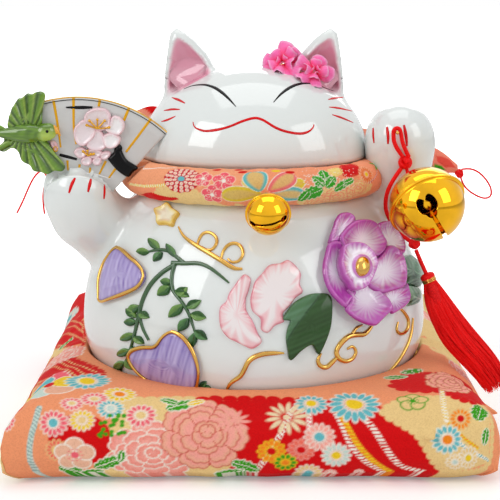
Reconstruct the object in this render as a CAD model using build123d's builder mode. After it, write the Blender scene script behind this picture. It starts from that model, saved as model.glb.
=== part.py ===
"""Beckoning cat figurine on a square cushion.

The cat is hollow slip-cast ware: body, head, arms and tail are cast apart and luted together, and the
flowers, leaves, scrolls, fan and bird are pressed pieces that seat on the curve of the body.
Units are millimetres. The origin is on the floor under the middle of the cushion, +Z is up and the cat
looks along -Y, so the cat's right arm is at -X.
"""

import os
from math import asin, atan2, cos, degrees, radians, sin, sqrt, tan

from build123d import *

os.makedirs("parts", exist_ok=True)

# --- Driving dimensions: castings ---------------------------------------------------------------------
belly_radius = 136.0  # sphere that carries the shoulders and the belly
belly_height = 80.0  # height of the sphere's centre above the floor
roll_radius = 64.0  # the belly rolls under to the foot on this radius
foot_height = 18.0  # underside of the cat above the floor, pressed into the cushion
neck_height = 203.0  # plane where the head is luted to the body
wall = 5.0  # casting thickness
vent_diameter = 3.5  # firing vent in the base
foot_recess = 2.0
foot_ring_width = 9.0

cheek_radius = 89.0  # half width of the head
cheek_rise = 7.0  # the cheeks turn under to the neck over this height
neck_radius = 62.0
crown_rise = 69.0  # cheeks to crown
head_depth_share = 0.86  # depth of the head over its width
throat_radius = 45.0  # opening between head and body
ear_spread = 50.0  # middle of the head to the middle of an ear's foot
ear_tip_height = 307.0

seat_gap = 0.3  # clearance between the castings and the soft pieces
motif_gap = 4.5  # clearance between the body and the cushion's rim, for the pressed leaves and lines

# --- Driving dimensions: dress ------------------------------------------------------------------------
collar_radius = 92.0
collar_thickness = 28.0
collar_height = 195.5
cushion_half = 171.0  # middle of the cushion to its corners
cushion_draw = 9.0  # how far the sides pull in between the corners
cushion_rim = 38.0  # above this height the cushion stands clear of the leaves and lines on the body

collar_bell_radius = 15.0
big_bell_radius = 27.5
big_bell_middle = (126, -83.5, 182)
bell_flange = 2.0
bell_swing_gap = 1.5  # the petals stand this far clear of the big bell
cord_diameter = 3.2
thread_diameter = 1.6


# --- Forms that other pieces seat on ------------------------------------------------------------------
def belly_form(offset=0.0):
    """The outside of the body, grown by an offset: a sphere that rolls under to a flat foot."""
    sphere_radius = belly_radius + offset
    tuck_radius = roll_radius + offset
    roll_centre = belly_radius - roll_radius
    floor = foot_height - offset
    neck_rise = neck_height - belly_height
    foot_drop = belly_height - floor
    top_radius = sqrt(sphere_radius**2 - neck_rise**2)
    foot_radius = roll_centre + sqrt(tuck_radius**2 - foot_drop**2)
    with BuildPart() as form:
        with BuildSketch(Plane.XZ):
            with BuildLine():
                Line((0, neck_height), (top_radius, neck_height))
                RadiusArc((top_radius, neck_height), (sphere_radius, belly_height), sphere_radius)
                RadiusArc((sphere_radius, belly_height), (foot_radius, floor), tuck_radius)
                Line((foot_radius, floor), (0, floor))
                Line((0, floor), (0, neck_height))
            make_face()
        revolve(axis=Axis.Z)
    return form.part


def head_form(offset=0.0):
    """The outside of the head without ears, grown by an offset: a deep dome on a tucked-in neck."""
    cheek = cheek_radius + offset
    cheek_height = neck_height + cheek_rise
    neck = neck_radius + offset
    with BuildPart() as form:
        with BuildSketch(Plane.XZ):
            with BuildLine():
                Line((0, neck_height - offset), (neck, neck_height - offset))
                EllipticalCenterArc(
                    (neck, cheek_height), cheek - neck, cheek_rise + offset, 270, arc_size=90
                )
                EllipticalCenterArc((0, cheek_height), cheek, crown_rise + offset, 0, arc_size=90)
                Line((0, cheek_height + crown_rise + offset), (0, neck_height - offset))
            make_face()
        revolve(axis=Axis.Z)
    return scale(form.part, by=(1, head_depth_share, 1))


def girth(height):
    """Radius of the body at a height."""
    if height >= belly_height:
        return sqrt(belly_radius**2 - (height - belly_height) ** 2)
    return belly_radius - roll_radius + sqrt(roll_radius**2 - (belly_height - height) ** 2)


def on_belly(azimuth, height, lift=0.0):
    """Plane that touches the body at an azimuth, in degrees from the front towards +X, and a height."""
    turn = radians(azimuth)
    if height >= belly_height:
        slope = asin((height - belly_height) / belly_radius)
    else:
        slope = -asin((belly_height - height) / roll_radius)
    normal = Vector(cos(slope) * sin(turn), -cos(slope) * cos(turn), sin(slope))
    spot = Vector(girth(height) * sin(turn), -girth(height) * cos(turn), height)
    return Plane(origin=spot + normal * lift, x_dir=(cos(turn), sin(turn), 0), z_dir=normal)


# --- Ways of making pieces ----------------------------------------------------------------------------
def bend_radii(points, share=0.45):
    """Largest arc for each corner of a route: a share of the shorter run, set by the turn there."""
    spots = [Vector(*point) for point in points]
    runs = [after - before for before, after in zip(spots, spots[1:])]
    return [
        share * min(run.length, following.length) / tan(radians(run.get_angle(following) / 2))
        for run, following in zip(runs, runs[1:])
    ]


def tube(points, diameter):
    """Round rod or cord: straight runs joined by tangent arcs."""
    with BuildPart() as rod:
        with BuildLine() as route:
            FilletPolyline(*points, radius=bend_radii(points))
        with BuildSketch(route.line ^ 0):
            Circle(diameter / 2)
        sweep()
    return rod.part


def bead(stations, diameter):
    """Piped line of clay on the body, through stations of azimuth and height, trimmed to the body."""
    lift = diameter / 8
    points = [on_belly(azimuth, height, lift).origin for azimuth, height in stations]
    with BuildPart() as line:
        add(tube(points, diameter))
        add(belly_skin, mode=Mode.SUBTRACT)
    return line.part


def pressed(plane, outline, height):
    """Piece pressed to an outline, a height thick, curved to sit on the body."""
    with BuildPart() as piece:
        with BuildSketch(plane):
            add(outline)
        extrude(amount=4 * wall, both=True)
        add(belly_form(height), mode=Mode.INTERSECT)
        add(belly_skin, mode=Mode.SUBTRACT)
    return piece.part


def write(part, name):
    """Label a finished piece and write it under its name."""
    part.label = name
    export_step(part, f"parts/{name}.step")


belly_skin = belly_form()
head_skin = head_form()

# --- Body casting -------------------------------------------------------------------------------------
belly_cavity = belly_form(-wall)
with BuildPart() as body_shell:
    add(belly_skin)
    add(belly_cavity, mode=Mode.SUBTRACT)
    with BuildSketch(Plane.XY.offset(foot_height)):
        Circle(girth(foot_height) - foot_ring_width)
    extrude(amount=foot_recess, mode=Mode.SUBTRACT)
    with Locations((0, 0, foot_height)):
        Hole(vent_diameter / 2, depth=2 * wall)
write(body_shell.part, "body_shell")

# --- Head casting -------------------------------------------------------------------------------------
ear_rows = [  # height above the floor, middle outwards of the ear's foot, half width, half depth
    (240, -6.0, 22.0, 14.0),
    (250, -4.5, 23.5, 15.0),
    (262, -2.5, 22.5, 14.0),
    (275, -1.0, 20.0, 12.5),
    (288, 2.0, 15.5, 10.0),
    (298, 5.5, 10.5, 7.0),
    (304, 8.5, 6.0, 4.0),
    (ear_tip_height, 9.5, 1.5, 1.0),
]
ear_rim = 4.0
ear_hollow_shift = 9.0  # the hollow of the ear opens forwards


def ear_form(rows, inset=0.0):
    """Cat's left ear: rounded rows that narrow and lean outwards to the tip."""
    with BuildPart() as ear:
        for height, lean, half_width, half_depth in rows:
            with BuildSketch(Plane.XY.offset(height)):
                with Locations((ear_spread + lean, 0)):
                    Ellipse(half_width - inset, half_depth - inset / 2)
        loft()
    return ear.part


left_ear = ear_form(ear_rows)
right_ear = mirror(left_ear, about=Plane.YZ)
left_ear_hollow = ear_form(ear_rows[:-2], ear_rim).moved(Location((0, -ear_hollow_shift, -ear_rim)))
right_ear_hollow = mirror(left_ear_hollow, about=Plane.YZ)
head_cavity = head_form(-wall)
with BuildPart() as head_shell:
    add([left_ear, right_ear])
    add([left_ear_hollow, right_ear_hollow], mode=Mode.SUBTRACT)
    add(head_skin)
    add(head_cavity, mode=Mode.SUBTRACT)
    with Locations((0, 0, neck_height)):
        Cylinder(throat_radius, 4 * wall, mode=Mode.SUBTRACT)
write(head_shell.part, "head_shell")

# --- Arms and tail ------------------------------------------------------------------------------------
limb_stations = {  # distance along each limb and its radius there
    "right_shoulder": [(14, 24), (34, 28.5), (52, 26)],
    "right_forearm": [(10, 21), (34, 27), (56, 26), (69, 20)],
    "left_shoulder": [(14, 24), (34, 27), (50, 24)],
    "left_forearm": [(9, 18), (28, 23.5), (48, 24.5), (66, 26), (80, 20)],
    "tail": [(10, 14), (30, 18), (44, 16)],
}


def limb(start, end, stations):
    """Rounded limb about the line from start to end."""
    axis_line = Vector(*end) - Vector(*start)
    points = [(radius, along) for along, radius in stations]
    with BuildPart() as form:
        with BuildSketch(Plane.XZ):
            with BuildLine():
                Spline((0, 0), *points, (0, axis_line.length), tangents=((1, 0), (-1, 0)))
                Line((0, axis_line.length), (0, 0))
            make_face()
        revolve(axis=Axis.Z)
    return form.part.moved(Plane(origin=start, z_dir=axis_line).location)


right_shoulder = limb((-80, -8, 132), (-128, -36, 178), limb_stations["right_shoulder"])
right_forearm = limb((-126, -37, 138), (-134, -45, 213), limb_stations["right_forearm"])
with BuildPart() as right_arm_solid:
    add([right_shoulder, right_forearm])
right_arm_form = right_arm_solid.part
with BuildPart() as right_arm:
    add(right_arm_form)
    add(belly_skin, mode=Mode.SUBTRACT)
write(right_arm.part, "right_arm")

left_shoulder = limb((70, -4, 140), (112, -20, 186), limb_stations["left_shoulder"])
left_forearm = limb((111, -18, 160), (111.5, -28, 251), limb_stations["left_forearm"])
with BuildPart() as left_arm_solid:
    add([left_shoulder, left_forearm])
left_arm_form = left_arm_solid.part
with BuildPart() as left_arm:
    add(left_arm_form)
    add([belly_skin, head_skin], mode=Mode.SUBTRACT)
write(left_arm.part, "left_arm")

tail_form = limb((0, 102, 79), (0, 157, 84), limb_stations["tail"])
with BuildPart() as tail:
    add(tail_form)
    add(belly_skin, mode=Mode.SUBTRACT)
write(tail.part, "tail")


def rounded_loft(rows):
    """Round form lofted through rows of a centre, a radius and a direction of travel."""
    with BuildPart() as form:
        for centre, radius, travel in rows:
            with BuildSketch(Plane(origin=centre, x_dir=(0, 1, 0), z_dir=travel)):
                Circle(radius)
        loft()
    return form.part


# --- Fan with blossoms and branch ---------------------------------------------------------------------
fan_radius = 98.0
fan_thickness = 4.5
fan_hub = (-132.0, 159.0)  # where the fan's ribs would meet, inside the paw
fan_front = -47.0
fan_right_lean = 43.0  # degrees from upright
fan_left_lean = -26.0
fan_grip = 32.0  # the leaf of the fan starts this far from the hub
fan_edge_round = 1.0
petal_thickness = 3.5
petal_spread = 0.52  # middle of a blossom to the middle of a petal, over the blossom's radius
petal_share = 0.5  # radius of a petal over the blossom's radius
dish_floor = 0.4  # clay left under the dish of a petal, over its thickness
stamen_disc = 1.4
stamen_width = 0.9
stamen_depth = 1.6
stamen_bead = 1.0
stamen_proud = 0.6  # under the petals' faces by this much less than their depth

fan_plane = Plane(origin=(fan_hub[0], fan_front, fan_hub[1]), x_dir=(1, 0, 0), z_dir=(0, -1, 0))


def fan_point(radius, lean):
    """Point of the fan from its hub, at a radius and a lean from upright."""
    return (radius * sin(radians(lean)), radius * cos(radians(lean)))


middle_lean = (fan_right_lean + fan_left_lean) / 2
with BuildSketch() as fan_leaf:
    with BuildLine():
        ThreePointArc(
            fan_point(fan_radius, fan_left_lean),
            fan_point(fan_radius, middle_lean),
            fan_point(fan_radius, fan_right_lean),
        )
        Line(fan_point(fan_radius, fan_right_lean), fan_point(fan_grip, fan_right_lean))
        ThreePointArc(
            fan_point(fan_grip, fan_right_lean),
            fan_point(fan_grip, middle_lean),
            fan_point(fan_grip, fan_left_lean),
        )
        Line(fan_point(fan_grip, fan_left_lean), fan_point(fan_radius, fan_left_lean))
    make_face()
fan_clear_outline = offset(fan_leaf.sketch, amount=seat_gap)
head_clear = head_form(seat_gap)
with BuildPart() as fan_space:
    with BuildSketch(fan_plane.offset(seat_gap)):
        add(fan_clear_outline)
    extrude(amount=-fan_thickness - 2 * seat_gap)
fan_clear = fan_space.part
with BuildPart() as fan_plate:
    with BuildSketch(fan_plane):
        add(fan_leaf.sketch)
    extrude(amount=-fan_thickness)
    fillet(fan_plate.edges().filter_by(GeomType.CIRCLE).sort_by(SortBy.LENGTH)[-2:], fan_edge_round)
    add([right_arm_form, head_clear], mode=Mode.SUBTRACT)
write(fan_plate.part, "fan_plate")


def plum_blossom(plane, radius, dish):
    """Five round petals in one pressed piece, dished towards the middle, with a raised eye."""
    with BuildPart() as blossom:
        with BuildSketch(plane):
            with PolarLocations(petal_spread * radius, 5, start_angle=90):
                Circle(petal_share * radius)
            Circle(petal_share * radius)
        extrude(amount=petal_thickness)
        with Locations(plane.offset(dish)):
            with PolarLocations(petal_spread * radius, 5, start_angle=90):
                Sphere(dish - dish_floor * petal_thickness, mode=Mode.SUBTRACT)
    return blossom.part


def stamens(plane, reach, count, first, step):
    """Fine rods that fan out from the eye of a blossom, each with a bead at its end."""
    with BuildPart() as bunch:
        with BuildSketch(plane):
            Circle(stamen_disc)
        extrude(amount=petal_thickness)
        for number in range(count):
            angle = first + number * step
            with BuildSketch(plane.offset(petal_thickness - stamen_depth - stamen_proud)):
                with Locations((reach * cos(radians(angle)) / 2, reach * sin(radians(angle)) / 2)):
                    Rectangle(reach, stamen_width, rotation=angle)
                with Locations((reach * cos(radians(angle)), reach * sin(radians(angle)))):
                    Circle(stamen_bead)
            extrude(amount=stamen_depth)
    return bunch.part


def on_fan(x, height, proud=0.0):
    """Plane on the front of the fan, or a distance in front of it."""
    return Plane(origin=(x, fan_front - proud, height), x_dir=(1, 0, 0), z_dir=(0, -1, 0))


large_blossom_plane = on_fan(-117.5, 235)
small_blossom_plane = on_fan(-124, 213.5)
large_stamens = stamens(large_blossom_plane, 9, 5, 20, 35)
small_stamens = stamens(small_blossom_plane, 6, 5, 20, 35)
large_petals = plum_blossom(large_blossom_plane, 20, 15)
with BuildPart() as fan_blossom_large:
    add(large_petals)
    add([large_stamens, small_stamens, right_arm_form], mode=Mode.SUBTRACT)
write(fan_blossom_large.part, "fan_blossom_large")

small_petals = plum_blossom(small_blossom_plane, 12.5, 10)
with BuildPart() as fan_blossom_small:
    add(small_petals)
    add([large_petals, large_stamens, small_stamens, right_arm_form], mode=Mode.SUBTRACT)
write(fan_blossom_small.part.solids().sort_by(SortBy.VOLUME)[-1], "fan_blossom_small")

with BuildPart() as fan_stamens:
    add([large_stamens, small_stamens])
write(fan_stamens.part, "fan_stamens")

with BuildPart() as fan_branch:
    with BuildSketch(on_fan(0, 0)):
        with BuildLine():
            FilletPolyline(
                (-106, 220), (-110, 212), (-97, 197.5), (-87, 206), (-96, 216), (-98, 223), (-102, 216),
                radius=1.2,
                close=True,
            )
        make_face()
    extrude(amount=4)
    add([large_petals, small_petals, right_arm_form], mode=Mode.SUBTRACT)
write(fan_branch.part.solids().sort_by(SortBy.VOLUME)[-1], "fan_branch")

# --- Bird ---------------------------------------------------------------------------------------------
bird_front = fan_front - 6.0  # middle plane of the bird's body
wing_thickness = 4.5


def feathered(tips, root, notch):
    """Outline of a wing: feathers that end in round tips, with notches between them, back to the root."""
    with BuildSketch() as wing:
        with BuildLine():
            for before, after in zip(tips, tips[1:]):
                middle = (Vector(*before) + Vector(*after)) / 2
                outward = (middle - Vector(*root)).normalized()
                ThreePointArc(before, middle + outward * notch, after)
            Line(tips[-1], root)
            Line(root, tips[0])
        make_face()
    return wing.sketch


wing_notch = 1.6
tail_notch = 1.4
upper_wing_tips = [(-159, 236), (-157, 263), (-167, 262), (-175, 256), (-180, 248), (-183, 234)]
lower_wing_tips = [(-157, 226), (-143, 206), (-153, 201), (-161, 202), (-170, 207), (-178, 219)]
tail_tips = [(-176, 237), (-187, 239), (-186, 229), (-189, 219), (-178, 221)]
upper_wing = feathered(upper_wing_tips, (-172, 227), wing_notch)
lower_wing = feathered(lower_wing_tips, (-172, 232), wing_notch)
tail_fan = feathered(tail_tips, (-170, 230), tail_notch)
bird_rows = [
    ((-184, bird_front, 230.5), 3.0, (1, 0, 0)),
    ((-177, bird_front, 230.5), 6.0, (1, 0, 0)),
    ((-167, bird_front, 230.5), 7.6, (1, 0, 0)),
    ((-158, bird_front, 231.5), 6.2, (1, 0, 0)),
    ((-152.5, bird_front, 232.5), 6.8, (1, 0, 0)),
    ((-148, bird_front, 232.5), 5.0, (1, 0, 0)),
    ((-146, bird_front, 232.5), 2.0, (1, 0, 0)),
]
bird_trunk = rounded_loft(bird_rows)
bird_reach = 800.0  # larger than the bird and the fan
with BuildPart() as bird:
    with BuildSketch(on_fan(0, 0)):
        add([upper_wing, lower_wing, tail_fan])
    extrude(amount=wing_thickness)
    add(bird_trunk)
    add(fan_plate.part, mode=Mode.SUBTRACT)
    with BuildSketch(on_fan(0, 0, -1)):
        Rectangle(bird_reach, bird_reach)
    extrude(amount=1, mode=Mode.SUBTRACT)
    add([right_arm_form, large_petals, small_petals], mode=Mode.SUBTRACT)
bird_piece = bird.part.solids().sort_by(SortBy.VOLUME)[-1]
write(bird_piece, "bird")

beak_radius = 3.0
beak_length = 7.0
beak_taper = 20.0
with BuildPart() as bird_beak:
    with BuildSketch(Plane(origin=(-148.5, bird_front, 232), x_dir=(0, 1, 0), z_dir=(1, 0, -0.1))):
        Circle(beak_radius)
    extrude(amount=beak_length, taper=beak_taper)
    add(bird.part, mode=Mode.SUBTRACT)
write(bird_beak.part, "bird_beak")

# --- Pressed flowers and leaves on the belly ----------------------------------------------------------
def closed_spline(*points):
    """Closed smooth outline through points across and up from the middle of a piece."""
    with BuildSketch() as outline:
        with BuildLine():
            Spline(*points, periodic=True)
        make_face()
    return outline.sketch


def pointed_leaf(length, width):
    """Leaf from its stalk at the origin to its tip along +Y."""
    with BuildSketch() as leaf:
        with BuildLine():
            ThreePointArc((0, 0), (width / 2, length * 0.45), (0, length))
            ThreePointArc((0, length), (-width / 2, length * 0.45), (0, 0))
        make_face()
    return leaf.sketch


violet_height = 6.0
violet_upper_outline = closed_spline(
    (-23, -24), (-28, -8), (-24, 9), (-12, 18.5), (2, 17), (12, 8), (20, 3), (21, -7), (6, -18)
)
violet_lower_outline = closed_spline(
    (16, -25), (23, -3), (17, 17), (5, 22), (-5, 18), (-13, 12), (-23, 8), (-32, 0), (-31, -11), (-16, -20)
)
violet_upper = pressed(on_belly(-49, 129), violet_upper_outline, violet_height)
violet_lower = pressed(on_belly(-27, 73.7), violet_lower_outline, violet_height)
write(violet_upper, "violet_leaf_upper")
write(violet_lower, "violet_leaf_lower")

pink_height = 2.5
pink_left = pressed(
    on_belly(-5, 115.8),
    closed_spline((4, 25), (-3, 16), (-13, 2), (-12, -14), (-1, -24), (11, -28), (7, -12), (3, 2), (8, 17)),
    pink_height,
)
pink_right = pressed(
    on_belly(6.5, 124.5),
    closed_spline((12, 25), (-3, 22), (-13, 9), (-8, -6), (-1, -22), (5, -20), (7, -7), (17, 2), (21, 14)),
    pink_height,
)
with BuildPart() as pink_petals:
    add(pink_left)
    add(pink_right)
write(pink_petals.part, "pink_petals")

leaf_height = 4.0
with BuildSketch() as green_leaf_outline:
    with BuildLine():
        Spline((14, 23), (19, 14), (17, -5), (7, -22))
        Line((7, -22), (2, -15))
        Spline((2, -15), (-5, -19), (-15, -25))
        Spline((-15, -25), (-17, -9), (-13, 3))
        Line((-13, 3), (-19, 6))
        Spline((-19, 6), (-5, 19), (14, 23))
    make_face()
green_leaf = pressed(on_belly(16.5, 103), green_leaf_outline.sketch, leaf_height) - pink_petals.part
green_leaf = green_leaf.solids().sort_by(SortBy.VOLUME)[-1]
write(green_leaf, "green_leaf")

star_height = 4.5
star_spread = 6.0
star_petal = 4.4
star_middle = 5.0
with BuildSketch() as star_outline:
    with PolarLocations(star_spread, 5, start_angle=100):
        Circle(star_petal)
    Circle(star_middle)
star = pressed(on_belly(-39.9, 172), star_outline.sketch, star_height)
write(star, "yellow_blossom")

# --- Camellia: overlapping cupped petals, the piece that takes the most skill --------------------------
flower_plane = on_belly(41, 140)
bowl_radius = 36.0  # curve of every outer petal's cup
petal_wall = 3.2
outer_petals = [  # middle across and up the flower, half length outwards, half width, lean, lift
    ((-24, 29), 17, 13, 14, 5.5),
    ((12, 24), 21, 24, 20, 9.5),
    ((34, 22), 16, 14, 14, 6.5),
    ((32, -6), 20, 21, 22, 9.0),
    ((31, -29), 15, 15, 14, 5.5),
    ((5, -30), 21, 21, 18, 7.5),
    ((-26, -4), 17, 30, 20, 8.0),
]


def cupped_petal(seat, half_length, half_width, bowl, thickness):
    """Petal cut from a bowl that stands on its seat plane."""
    with BuildPart() as petal:
        with BuildSketch(seat):
            Ellipse(half_length, half_width)
        extrude(amount=0.6 * bowl, both=True)
        with Locations(seat.offset(bowl)):
            Sphere(bowl + thickness, mode=Mode.INTERSECT)
            Sphere(bowl, mode=Mode.SUBTRACT)
    return petal.part


def petal_seat(plane, middle, lean, lift=0.0):
    """Plane turned to point away from the flower's middle and leaning forwards."""
    heading = degrees(atan2(middle[1], middle[0]))
    return Plane(plane.location * Pos(middle[0], middle[1], lift) * Rot(0, 0, heading) * Rot(0, -lean, 0))


camellia_petals = [
    cupped_petal(
        petal_seat(flower_plane, middle, lean, lift), half_length, half_width, bowl_radius, petal_wall
    )
    for middle, half_length, half_width, lean, lift in outer_petals
]
cup_radius = 20.0
cup_depth = 17.0
cup_foot_radius = 9.0
eye_radius = 4.6
eye_floor = 8.5  # bottom of the dimple that the eye sits in
stand_height = 7.0  # clay that joins the petals under the cup
stand_dish = 1.0
with BuildPart() as camellia_outer:
    add(camellia_petals)
    with BuildSketch(flower_plane.offset(-wall)):
        Circle(cup_radius)
    extrude(amount=wall + stand_height)
    with Locations(flower_plane.offset(cup_radius + stand_height - stand_dish)):
        Sphere(cup_radius + stand_dish, mode=Mode.SUBTRACT)
    add(belly_skin, mode=Mode.SUBTRACT)
    with Locations(big_bell_middle):
        Sphere(big_bell_radius + bell_flange + bell_swing_gap, mode=Mode.SUBTRACT)
write(camellia_outer.part, "camellia_outer_petals")

# half section of the cup: foot, outer wall, rolled lip, inner wall, mound with a dimple
foot_inside = (0, 0.5)
foot_edge = (cup_foot_radius, 0.5)
lip_outside = (cup_radius, cup_depth - 2)
lip_inside = (cup_radius - 2.6, cup_depth - 1.6)
mound_foot = (10, 8.5)
mound_edge = (eye_radius + 1, 11.5)
with BuildPart() as camellia_inner:
    with BuildSketch(Plane.XZ):
        with BuildLine():
            Line(foot_inside, foot_edge)
            ThreePointArc(foot_edge, (17.5, 6), lip_outside)
            ThreePointArc(lip_outside, (cup_radius - 1.2, cup_depth - 0.4), lip_inside)
            ThreePointArc(lip_inside, (15, 9.5), mound_foot)
            ThreePointArc(mound_foot, (7.5, 9.5), mound_edge)
            Line(mound_edge, (eye_radius, eye_floor))
            Line((eye_radius, eye_floor), (0, eye_floor))
            Line((0, eye_floor), foot_inside)
        make_face()
    revolve(axis=Axis.Z)
cup_place = flower_plane.location * Pos(-3, 0, 5)
camellia_cup = camellia_inner.part.moved(cup_place) - camellia_outer.part
write(camellia_cup, "camellia_inner_cup")

eye_plane = cup_place * Pos(0, 0, eye_floor)
with BuildPart() as camellia_eye:
    with Locations(eye_plane):
        Sphere(eye_radius)
    add(camellia_cup, mode=Mode.SUBTRACT)
    with BuildSketch(Plane(eye_plane)):
        Circle(2 * eye_radius)
    extrude(amount=-2 * eye_radius, mode=Mode.SUBTRACT)
write(camellia_eye.part, "camellia_eye")

camellia_leaf_outline = pointed_leaf(30, 24)
camellia_leaf_forms = [
    pressed(on_belly(58, 118) * Rot(0, 0, -80), camellia_leaf_outline, leaf_height),
    pressed(on_belly(53, 104) * Rot(0, 0, -95), camellia_leaf_outline, leaf_height),
]
with BuildPart() as camellia_leaves:
    add(camellia_leaf_forms)
    add([camellia_outer.part, camellia_cup], mode=Mode.SUBTRACT)
write(camellia_leaves.part, "camellia_leaves")

# --- Vine ---------------------------------------------------------------------------------------------
stem_diameter = 3.2
shoot_diameter = 2.6
vine_stem_forms = [
    bead([(-9, 134), (-15.5, 142), (-21, 145.5), (-28.5, 145), (-39, 147)], stem_diameter),
    bead([(-28.5, 145), (-34, 135), (-37.5, 124), (-38.7, 112), (-38, 100), (-35, 86)], stem_diameter),
    bead([(-38.7, 110), (-41.5, 90), (-44, 74), (-47, 54)], shoot_diameter),
    bead([(-28, 143), (-28.3, 132), (-26, 123), (-21.5, 114), (-18.5, 104), (-16, 90)], shoot_diameter),
]
with BuildPart() as vine_stems:
    add(vine_stem_forms)
    add([violet_upper, violet_lower], mode=Mode.SUBTRACT)
write(vine_stems.part, "vine_stems")

vine_leaf_height = 3.2
vine_leaf_rows = [  # azimuth and height of the stalk, heading from upright, length, width
    (-37, 147.5, 35, 14, 8), (-35.5, 145, 165, 17, 7),
    (-27, 122, 170, 19, 8.5), (-25, 122, -70, 17, 9), (-21.5, 113, 165, 19, 9), (-21, 113, -80, 17, 8.5),
    (-17.5, 102, -168, 18, 8.5),
    (-52, 106, 80, 13, 8), (-50, 106, 160, 16, 7), (-44.5, 110, 170, 16, 8),
    (-43, 84, 75, 12, 8), (-44.5, 74, 75, 11, 8), (-46, 65, 75, 11, 8),
    (-42, 86, -150, 14, 8), (-44, 72, -150, 14, 7), (-47, 58, 100, 9, 6), (-45.5, 62, -140, 12, 6),
    (-20, 52, -80, 13, 7),
]
vine_leaf_forms = [
    pressed(on_belly(azimuth, height) * Rot(0, 0, heading), pointed_leaf(length, width), vine_leaf_height)
    for azimuth, height, heading, length, width in vine_leaf_rows
]
with BuildPart() as vine_leaves:
    add(vine_leaf_forms)
    add([vine_stems.part, violet_upper, violet_lower], mode=Mode.SUBTRACT)
write(vine_leaves.part, "vine_leaves")

# --- Gilt scrolls -------------------------------------------------------------------------------------
gilt_diameter = 3.6
gilt_fine_diameter = 2.9


def spiral_stations(middle, radius, first, sweep_angle, shrink, count):
    """Stations of a curl on the body: a circle that tightens as it turns, in azimuth and height."""
    stations = []
    for number in range(count + 1):
        part_way = number / count
        angle = radians(first + sweep_angle * part_way)
        reach = radius * (1 - shrink * part_way)
        azimuth = middle[0] + degrees(reach * cos(angle) / girth(middle[1]))
        stations.append((azimuth, middle[1] + reach * sin(angle)))
    return stations


tendril_run = [
    (-31.5, 166.5), (-27, 160), (-22, 156), (-16.5, 151.5), (-11.5, 147), (-7, 142.5), (-3.5, 142),
]
tendril_forms = [
    bead(tendril_run, gilt_diameter),
    bead(spiral_stations((-17.5, 158.5), 6.5, 250, 340, 0.15, 10), gilt_fine_diameter),
    bead(spiral_stations((-7.5, 152.5), 7.5, 250, 340, 0.15, 10), gilt_fine_diameter),
]
with BuildPart() as gilt_tendril:
    add(tendril_forms)
write(gilt_tendril.part, "gilt_tendril")

scroll_run = [(38.5, 97), (36, 92), (31, 91.5), (27, 87), (25.3, 80.5), (27, 75.5), (30.5, 74.5), (32.3, 79)]
scroll_forms = [
    bead(scroll_run, gilt_diameter),
    bead([(26, 78.5), (23.5, 73.5), (20.5, 72), (19.3, 76), (21.3, 82)], gilt_diameter),
]
with BuildPart() as gilt_scroll:
    add(scroll_forms)
    add([camellia_outer.part, green_leaf], mode=Mode.SUBTRACT)
write(gilt_scroll.part, "gilt_scroll")

small_scroll_form = bead([(56, 101), (58.5, 92), (55.5, 84.5), (51.5, 87), (52, 94)], gilt_diameter)
with BuildPart() as gilt_scroll_small:
    add(small_scroll_form)
    add([camellia_outer.part, camellia_leaves.part], mode=Mode.SUBTRACT)
write(gilt_scroll_small.part, "gilt_scroll_small")

hem_run = [(8.5, 84), (2.5, 83.5), (-1.3, 80), (-3, 74.5), (-4.5, 67.5), (-7, 62), (-9.5, 52)]
hem_forms = [
    bead(hem_run, gilt_diameter),
    bead([(62.5, 92), (59, 75), (53, 62), (44.5, 51)], gilt_fine_diameter),
]
with BuildPart() as gilt_hem:
    add(hem_forms)
    add([camellia_outer.part, camellia_leaves.part, small_scroll_form], mode=Mode.SUBTRACT)
write(gilt_hem.part, "gilt_hem")

# --- Padded collar, knot and bow ----------------------------------------------------------------------
collar_tube = collar_thickness / 2
belly_clear = belly_form(seat_gap)
collar_cutters = [belly_clear, head_clear, left_arm_form, right_arm_form, fan_clear, fan_branch.part, star]
with BuildPart() as collar:
    with Locations((0, 0, collar_height)):
        Torus(collar_radius, collar_tube)
    add(collar_cutters, mode=Mode.SUBTRACT)
collar_pieces = collar.part.solids().sort_by(SortBy.VOLUME)
write(collar_pieces[-1], "collar")


def lens_loft(rows):
    """Padded form lofted across rows of a middle, half thickness and half height."""
    with BuildPart() as form:
        for middle, half_width, half_height in rows:
            with BuildSketch(Plane(origin=middle, x_dir=(0, 1, 0), z_dir=(1, 0, 0))):
                with BuildLine():
                    ThreePointArc((0, half_height), (half_width, 0), (0, -half_height))
                    ThreePointArc((0, -half_height), (-half_width, 0), (0, half_height))
                make_face()
        loft()
    return form.part


knot_reach = 13.0
knot_depth = 9.0
knot_middle = collar_radius + collar_tube + seat_gap + knot_depth
knot_rows = [
    ((x, knot_middle, collar_height), half_width, half_height)
    for x, half_width, half_height in (
        (-knot_reach, 6, 9), (-6, knot_depth, 13), (6, knot_depth, 13), (knot_reach, 6, 9)
    )
]
with BuildPart() as collar_knot:
    add(lens_loft(knot_rows))
write(collar_knot.part, "collar_knot")

bow_rows = [  # middle, half thickness, half height
    ((knot_reach + seat_gap, 112, 197), 5, 8),
    ((45, 106, 212), 7.5, 19),
    ((88, 98, 219), 8, 25),
    ((130, 90, 207), 7, 18),
    ((160, 83, 193), 5.5, 12),
    ((174, 80, 187), 2.6, 4),
]
with BuildPart() as bow_left:
    add(lens_loft(bow_rows))
write(bow_left.part, "bow_left")
bow_right_form = mirror(bow_left.part, about=Plane.YZ)
write(bow_right_form, "bow_right")

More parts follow.
